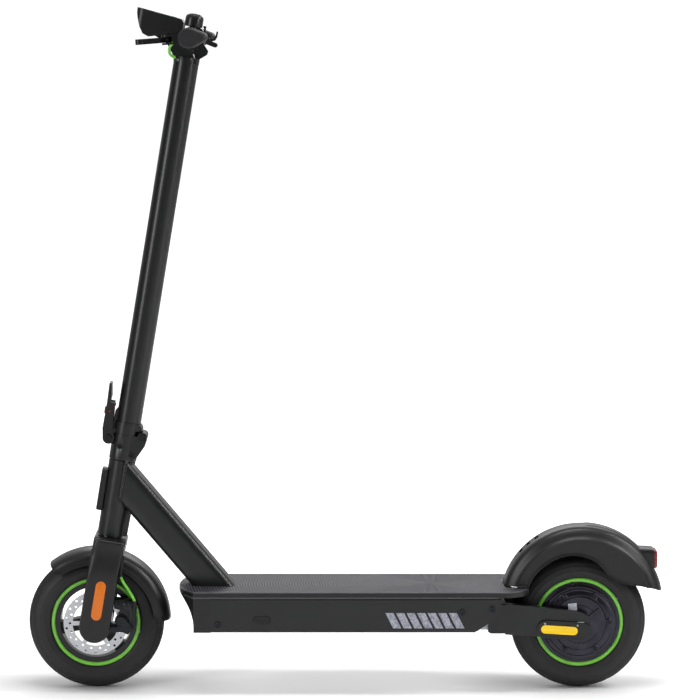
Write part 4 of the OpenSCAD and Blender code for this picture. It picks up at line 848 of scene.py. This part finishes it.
tube_top = steer(0, 0, 281.0)           # where the tube meets the steering axis
run_down = np.array([nose_x + 61.2, 0, mat_top]) * MM - tube_top
run_down /= np.linalg.norm(run_down)
square_up = np.cross(run_down, SIDE)
tube_half, chamfer = 29.6, 8.0
flank = tube_half - chamfer
outline = np.array([(flank, -tube_half), (tube_half, -flank), (tube_half, flank), (flank, tube_half),
                    (-flank, tube_half), (-tube_half, flank), (-tube_half, -flank), (-flank, -tube_half)])
outline = resample(np.vstack([outline, outline[:1]]), 301)[:-1]
start = tube_top + MM * (outline[:, :1] * square_up + outline[:, 1:] * SIDE)
reach = (8.5 * MM - (start - front_axle) @ BACK) / (run_down @ BACK)
bead = start + reach[:, None] * run_down
a = np.linspace(0, 2 * np.pi, 160, endpoint=False)
crowned = 31.5 * np.stack([signed_power(np.cos(a), 0.44), signed_power(np.sin(a), 0.44)], 1)
ring = tube_top + MM * (crowned[:, :1] * square_up + crowned[:, 1:] * SIDE)
tube_start = (7.0 * MM - (ring - front_axle) @ BACK) / (run_down @ BACK)
tube_end = (mat_top * MM - 1.0 * MM - ring[:, 2]) / run_down[2]
share = np.linspace(0, 1, 61)[:, None, None]
tube_skin = ring + (tube_start[:, None] + share * (tube_end - tube_start)[:, None]) * run_down
mesh = sheet_mesh("down_tube_skin", tube_skin, wrap=(False, True), caps=True, sharp=50)
piece(mesh, powder_black, "frame", "satin_black")
ripple = 3.4 + 0.9 * np.abs(np.sin(np.arange(len(bead)) * np.pi / 5))
piece(swept("head_weld", bead, ripple, 14, BACK, closed=True), powder_black, "frame",
      "satin_black")


# ---------------------------------------------------------------------------
# Fork leg covers: ABS shells over the steel legs. Each runs from the round
# foot at the axle up to the crown, where its outer face draws in to a shoulder.

def leg_cover(sign, rows=64, count=96):
    """A closed shell. At height w its section is a superellipse between the leg's inner plane and the
    outer face: half width wide(w) about middle_u(w), half depth deep(w). Its corners grow rounder
    toward the crown, most at the front. The foot is a half circle and the top is rounded over."""
    foot_radius, inner, outer_face = 28.7, 46.8, 66.0
    foot = np.linspace(0.06, np.pi / 2, 18)
    over = np.linspace(0, np.pi / 2 - 0.1, 8)[1:]
    w = np.concatenate([-4 - foot_radius * np.cos(foot), np.linspace(0, 158, rows),
                        159 + 4.0 * np.sin(over)])[:, None]
    wide = foot_radius + 0.6 * step_up(w, 100, 150) - 2.0 * step_up(w, 150, 163)
    wide[:18, 0] = foot_radius * np.sin(foot)
    wide[-7:, 0] -= 4.0 * (1 - np.cos(over))
    middle_u = 2.0 * step_up(w, 96, 150)
    face = outer_face - 4.2 * step_up(w, 92, 150)
    face[-7:, 0] -= 4.0 * (1 - np.cos(over))
    face[:8, 0] -= np.linspace(5, 0, 8) ** 2 * 0.12
    a = np.linspace(0, 2 * np.pi, count, endpoint=False)[None, :]
    power = 0.27 + np.where(np.cos(a) < 0, 0.5, 0.12) * step_up(w, 70, 140) * (np.sin(a) > 0)
    c = signed_power(np.cos(a), power)
    v = signed_power(np.sin(a), power)
    y = (face + inner) / 2 + (face - inner) / 2 * v
    return steer(middle_u + wide * c, sign * y, w + 0 * a)


for name, sign in (("left", -1), ("right", 1)):
    shell = leg_cover(sign)
    mesh = sheet_mesh("fork_cover_" + name, shell, wrap=(False, True), caps=True, sharp=60)
    piece(mesh, abs_black, "steering", "black_plastic", ["fork_covers"])


# ---------------------------------------------------------------------------
# Front reflector: a black ABS housing clipped to the head tube, with a clear
# acrylic lens let into its face.

def raised_block(name, outline, heights, place, sharp=38):
    """A block over a closed outline (n points in mm): one loop for each (inset, height), each point
    drawn in along the bisector of its corner, with flat caps on the first and last loop."""
    p = np.array(outline, float)
    before, after = p - np.roll(p, 1, 0), np.roll(p, -1, 0) - p
    before /= np.linalg.norm(before, axis=1, keepdims=True)
    after /= np.linalg.norm(after, axis=1, keepdims=True)
    turn_way = np.sign(np.sum(before[:, 0] * after[:, 1] - before[:, 1] * after[:, 0]))
    left_of = turn_way * np.stack([-(before + after)[:, 1], (before + after)[:, 0]], 1)
    left_of /= np.linalg.norm(left_of, axis=1, keepdims=True)
    stretch = 1 / np.maximum(np.sum(left_of * np.stack([-before[:, 1], before[:, 0]], 1) * turn_way, 1), 0.5)
    loops = [place(*(p + inset * (left_of * stretch[:, None])).T, height) for inset, height in heights]
    return sheet_mesh(name, np.array(loops), wrap=(False, True), caps=True, sharp=sharp)


shell = [(-13, 212), (-10, 209), (10, 209), (13, 212), (13, 287), (10, 290), (-10, 290), (-13, 287)]


def on_head(y, w, u):
    return steer(u, y, w)


rim = [(0, -23.5), (0, -33.6), (0.5, -34.2), (2.2, -34.3), (2.6, -33.6)]
mesh = raised_block("reflector_housing", shell, rim, on_head)
piece(mesh, abs_black, "frame", "black_plastic", ["front_reflector"])
mesh = raised_block("reflector_lens", shell, [(3.0, -33.0), (3.0, -34.3), (3.5, -34.8)], on_head)
piece(mesh, clear_pc, "frame", "clear_reflector", ["front_reflector"])


# ---------------------------------------------------------------------------
# Brake caliper: a die-cast body on a steel bracket, with a round cap over the
# piston, a pad-pin bolt, a cast rib and the seat that the hose ends in.

def on_left(u, w, y):
    return steer(u, -y, w)


casting = [(28, 50), (30, 55), (44, 57), (62, 56), (69, 51), (72, 40), (73, 20), (71, 2), (64, -8), (53, -5),
           (38, -8), (26, -5), (26, 2), (40, 5), (43.5, 12), (40.5, 27), (41.5, 36), (31, 37)]
mesh = raised_block("caliper_body", casting, [(0, 31), (0, 55.5), (0.8, 56.8), (1.6, 57)], on_left)
piece(mesh, black_oxide, "steering", "black_oxide", ["brake_caliper"])
rib = [(45, 50), (60, 49), (66, 36), (68, 16), (64, 4), (60, 8), (62, 22), (58, 36), (46, 42)]
mesh = raised_block("caliper_rib", rib, [(0, 55), (0, 58.2), (0.8, 59)], on_left)
piece(mesh, abs_black, "steering", "black_oxide", ["brake_caliper"])
for name, (u, w), steps in (
        ("piston_cap", (47.8, 17.5), [(12.6, 55), (12.6, 58.6), (11.6, 60.2), (10.2, 60.6), (9.6, 59.6),
                                      (7.6, 59.6), (7.2, 62.2), (6.4, 62.9), (3.6, 62.9, 6), (3.2, 60.2, 6)]),
        ("pad_pin", (63.6, 2.9), [(5.6, 55), (5.6, 58.4), (4.8, 60.4), (3.0, 60.6), (2.6, 60.6, 6),
                                  (2.4, 58.8, 6)]),
        ("bleed_screw", (37, 46.5), [(4.2, 55), (4.2, 58), (3.6, 59.2), (2.0, 59.3), (1.6, 58)]),
        ("body_screw", (54, 48), [(3.6, 55), (3.6, 59.6), (3.0, 60.2), (1.9, 60.3, 6), (1.8, 58.6, 6)])):
    mesh = lozenge(name, 0, steps, steer(u, 0, w), BACK, LEAN, -SIDE, 36)
    piece(mesh, black_oxide, "steering", "black_oxide", ["brake_caliper"])
seat_steps = [(4.2, 0), (4.2, 9), (5.0, 9.3, 6), (5.0, 13, 6), (3.6, 13.4)]
mesh = lozenge("hose_seat", 0, seat_steps, steer(67.5, -55, 34), BACK, SIDE, LEAN, 30)
piece(mesh, black_oxide, "steering", "black_oxide", ["brake_caliper"])


# ---------------------------------------------------------------------------
# Fender foot: a black ABS tongue that closes the deck's slot under the arch.

tongue = [(296, -50), (321, -50), (321, -38), (309, -35), (309, 35), (321, 38), (321, 50), (296, 50)]


def on_deck(x, y, z):
    """Points in mm over the deck as points in metres."""
    return MM * np.stack([x, y, z + 0 * x], 1)


mesh = raised_block("fender_foot", tongue, [(0, 190), (0, 195.6), (1.0, 196.6)], on_deck)
piece(mesh, abs_black, "frame", "black_plastic", ["rear_fender"])


# ---------------------------------------------------------------------------
# Reflectors on the fork legs and on the swing arm: moulded acrylic lozenges
# glued into shallow recesses of the covers, with a plain rim round the prisms.

amber_out = corners("fork_reflectors")[1][1] / MM
for name, sign in (("left", -1), ("right", 1)):
    centre = steer(0, sign * (amber_out - 2.4), 48.5)
    mesh = lozenge("fork_reflector_" + name, 27.5,
                   [(9.7, 0), (9.7, 1.6), (9.2, 2.2), (8.2, 2.3), (7.8, 1.9), (7.4, 2.0)],
                   centre, LEAN, BACK, sign * SIDE, 48)
    piece(mesh, amber_pmma, "steering", "amber_reflector", ["fork_reflectors"])

cover_high = corners("arm_covers")[1]
tilt = math.radians(3.5)
along_cover = np.array([math.cos(tilt), 0, -math.sin(tilt)])
square_cover = np.array([math.sin(tilt), 0, math.cos(tilt)])
cover_middle = rear_axle + MM * np.array([-31.0, 0, -7.5])
for name, sign in (("left", -1), ("right", 1)):
    seat = cover_middle + MM * (-9 * along_cover) + sign * SIDE * (cover_high[1] - 1 * MM)
    mesh = lozenge("arm_reflector_" + name, 26.5, [(7.8, 0), (7.8, 1.4), (7.3, 1.9), (6.4, 2.0), (6.0, 1.7)],
                   seat, along_cover, square_cover, sign * SIDE, 48)
    piece(mesh, yellow_pmma, "swing_arm")
    mark = rear_axle + MM * np.array([-107.0, 0, -3.0]) + sign * SIDE * 63.0 * MM
    mesh = lozenge("arm_mark_" + name, 0, [(4.6, -0.4), (4.6, 0.35), (4.2, 0.6), (3.2, 0.6), (3.0, 0.1)], mark,
                   (ALONG + UP) / math.sqrt(2), (UP - ALONG) / math.sqrt(2), sign * SIDE, 4)
    piece(mesh, powder_black, "swing_arm")
    for at in (-36.5, 24.5):
        pin = cover_middle + MM * (at * along_cover + 10.5 * square_cover)
        pin = pin + sign * SIDE * (cover_high[1] - 0.2 * MM)
        mesh = lozenge(f"cover_rivet_{name}_{int(at)}", 0, [(1.8, -0.4), (1.8, 0.3), (1.2, 0.9)],
                       pin, along_cover, square_cover, sign * SIDE, 16)
        piece(mesh, zinc, "swing_arm", "zinc_steel")


# ---------------------------------------------------------------------------
# Brake hose: a braided line in a green jacket, one length from the lever into
# the neck, inside the stem, and out at the crown down to the caliper.

bar_height = float((middle("handlebar") - front_axle) @ LEAN) / MM
lower_route = spline([[31.5, -53, 138], [31.5, -53, 126], [31.5, -53, 114], [32, -53, 104], [35, -53, 95],
                      [41, -53.5, 87], [49, -54, 78.5], [57.5, -54.5, 69], [64.5, -55, 60], [67.3, -55, 53],
                      [67.5, -55, 46.2]], 8)
upper_route = spline([[-20, -109.8, 1103], [-22, -98, 1101], [-27, -84, 1094], [-31, -70, 1087], [-32, -56, 1080],
                      [-31, -42, 1075], [-27, -31, 1071], [-22, -21.2, 1069]], 8)
upper_route[:, 2] += bar_height - 1110
for node, route, body, reference in (("lower_hose", lower_route, "steering", SIDE),
                                     ("upper_hose", upper_route, "stem", UP)):
    mesh = swept(node + "_jacket", steer(*route.T), 2.6, 24, reference)
    piece(mesh, green_pvc, body, "green_rubber", [node])
sleeve_route = lower_route[:30]
piece(swept("hose_sleeve", steer(*sleeve_route.T), 3.3, 20, SIDE), soft_rubber, "steering", "black_rubber")
boot_route = lower_route[-14:]
boot_radius = 3.4 + 0.35 * np.cos(np.arange(14) * np.pi)
piece(swept("caliper_boot", steer(*boot_route.T), boot_radius, 20, SIDE), soft_rubber, "steering",
      "black_rubber")
boot_route = upper_route[:12]
boot_radius = 3.5 + 0.35 * np.cos(np.arange(12) * np.pi)
piece(swept("lever_boot", steer(*boot_route.T), boot_radius, 20, UP), soft_rubber, "stem", "black_rubber")


# ---------------------------------------------------------------------------
# Grips: moulded rubber sleeves with a palm rest toward the rider, fine ribs
# across the hold and a plain flange at each end.

bar_centre = middle("handlebar")
grip_end = corners("grips")[1][1] / MM
grip_len = 118.0


def grip_section(t):
    """Radius of a grip's outline at angle t: a circle of 18.3 mm that draws out into a palm rest of
    8.5 mm radius 23 mm behind, joined by straight flanks (the furthest of both shapes)."""
    c, s = np.cos(t), np.sin(t)
    round_part = np.full_like(t, 18.3)
    inside = np.maximum(8.5 ** 2 - (23 * s) ** 2, 0)
    rest = np.where(8.5 ** 2 > (23 * s) ** 2, 23 * c + np.sqrt(inside), 0)
    lean = math.acos((18.3 - 8.5) / 23)
    flank = np.where(np.abs(t) < lean, 18.3 / np.maximum(np.cos(np.abs(t) - lean), 0.2), 0)
    limit = np.where(np.abs(t) < lean, 1, 0) * flank
    reach = np.where((np.abs(t) < lean) & (limit * c < 23 + 8.5 * math.cos(lean)), limit, 0)
    return np.maximum(np.maximum(round_part, rest), reach)


t = np.linspace(-np.pi, np.pi, 72, endpoint=False)[None, :]
along = np.linspace(0, grip_len, 241)[:, None]
hold = step_up(along, 10, 13) * (1 - step_up(along, 104, 107))
ends = np.minimum(along, grip_len - along)
shrink = 1 - 0.14 * (1 - step_up(ends, 0, 3.5)) - 0.05 * step_up(ends, 5, 7) * (1 - step_up(ends, 9, 11))
ribs = 0.45 * hold * np.cos(2 * np.pi * along / 3.8) * (0.35 + 0.65 * (np.abs(t) > 0.9))
radius = grip_section(t) * shrink + ribs - 0.45 * hold
bend = math.radians(4)
down = np.array([math.sin(bend), 0, -math.cos(bend)])
rest_way = np.array([math.cos(bend), 0, math.sin(bend)])
grip_rubber = surface("moulded_grip_rubber", "#1b1b1e", 0.6, bump=(0.7, 0.03), tint=("#222226", 10, 0.5))
for name, sign in (("left", -1), ("right", 1)):
    centre = bar_centre * [1, 0, 1]
    rearward = (radius * np.cos(t))[..., None] * rest_way
    upward = (radius * np.sin(t))[..., None] * -down
    sideward = (sign * (grip_end - along))[..., None] * SIDE
    points = centre + MM * rearward + MM * upward + MM * sideward
    piece(sheet_mesh("grip_" + name, points, wrap=(False, True), caps=True, sharp=50), grip_rubber,
          "stem", "grip_rubber", ["grips"])
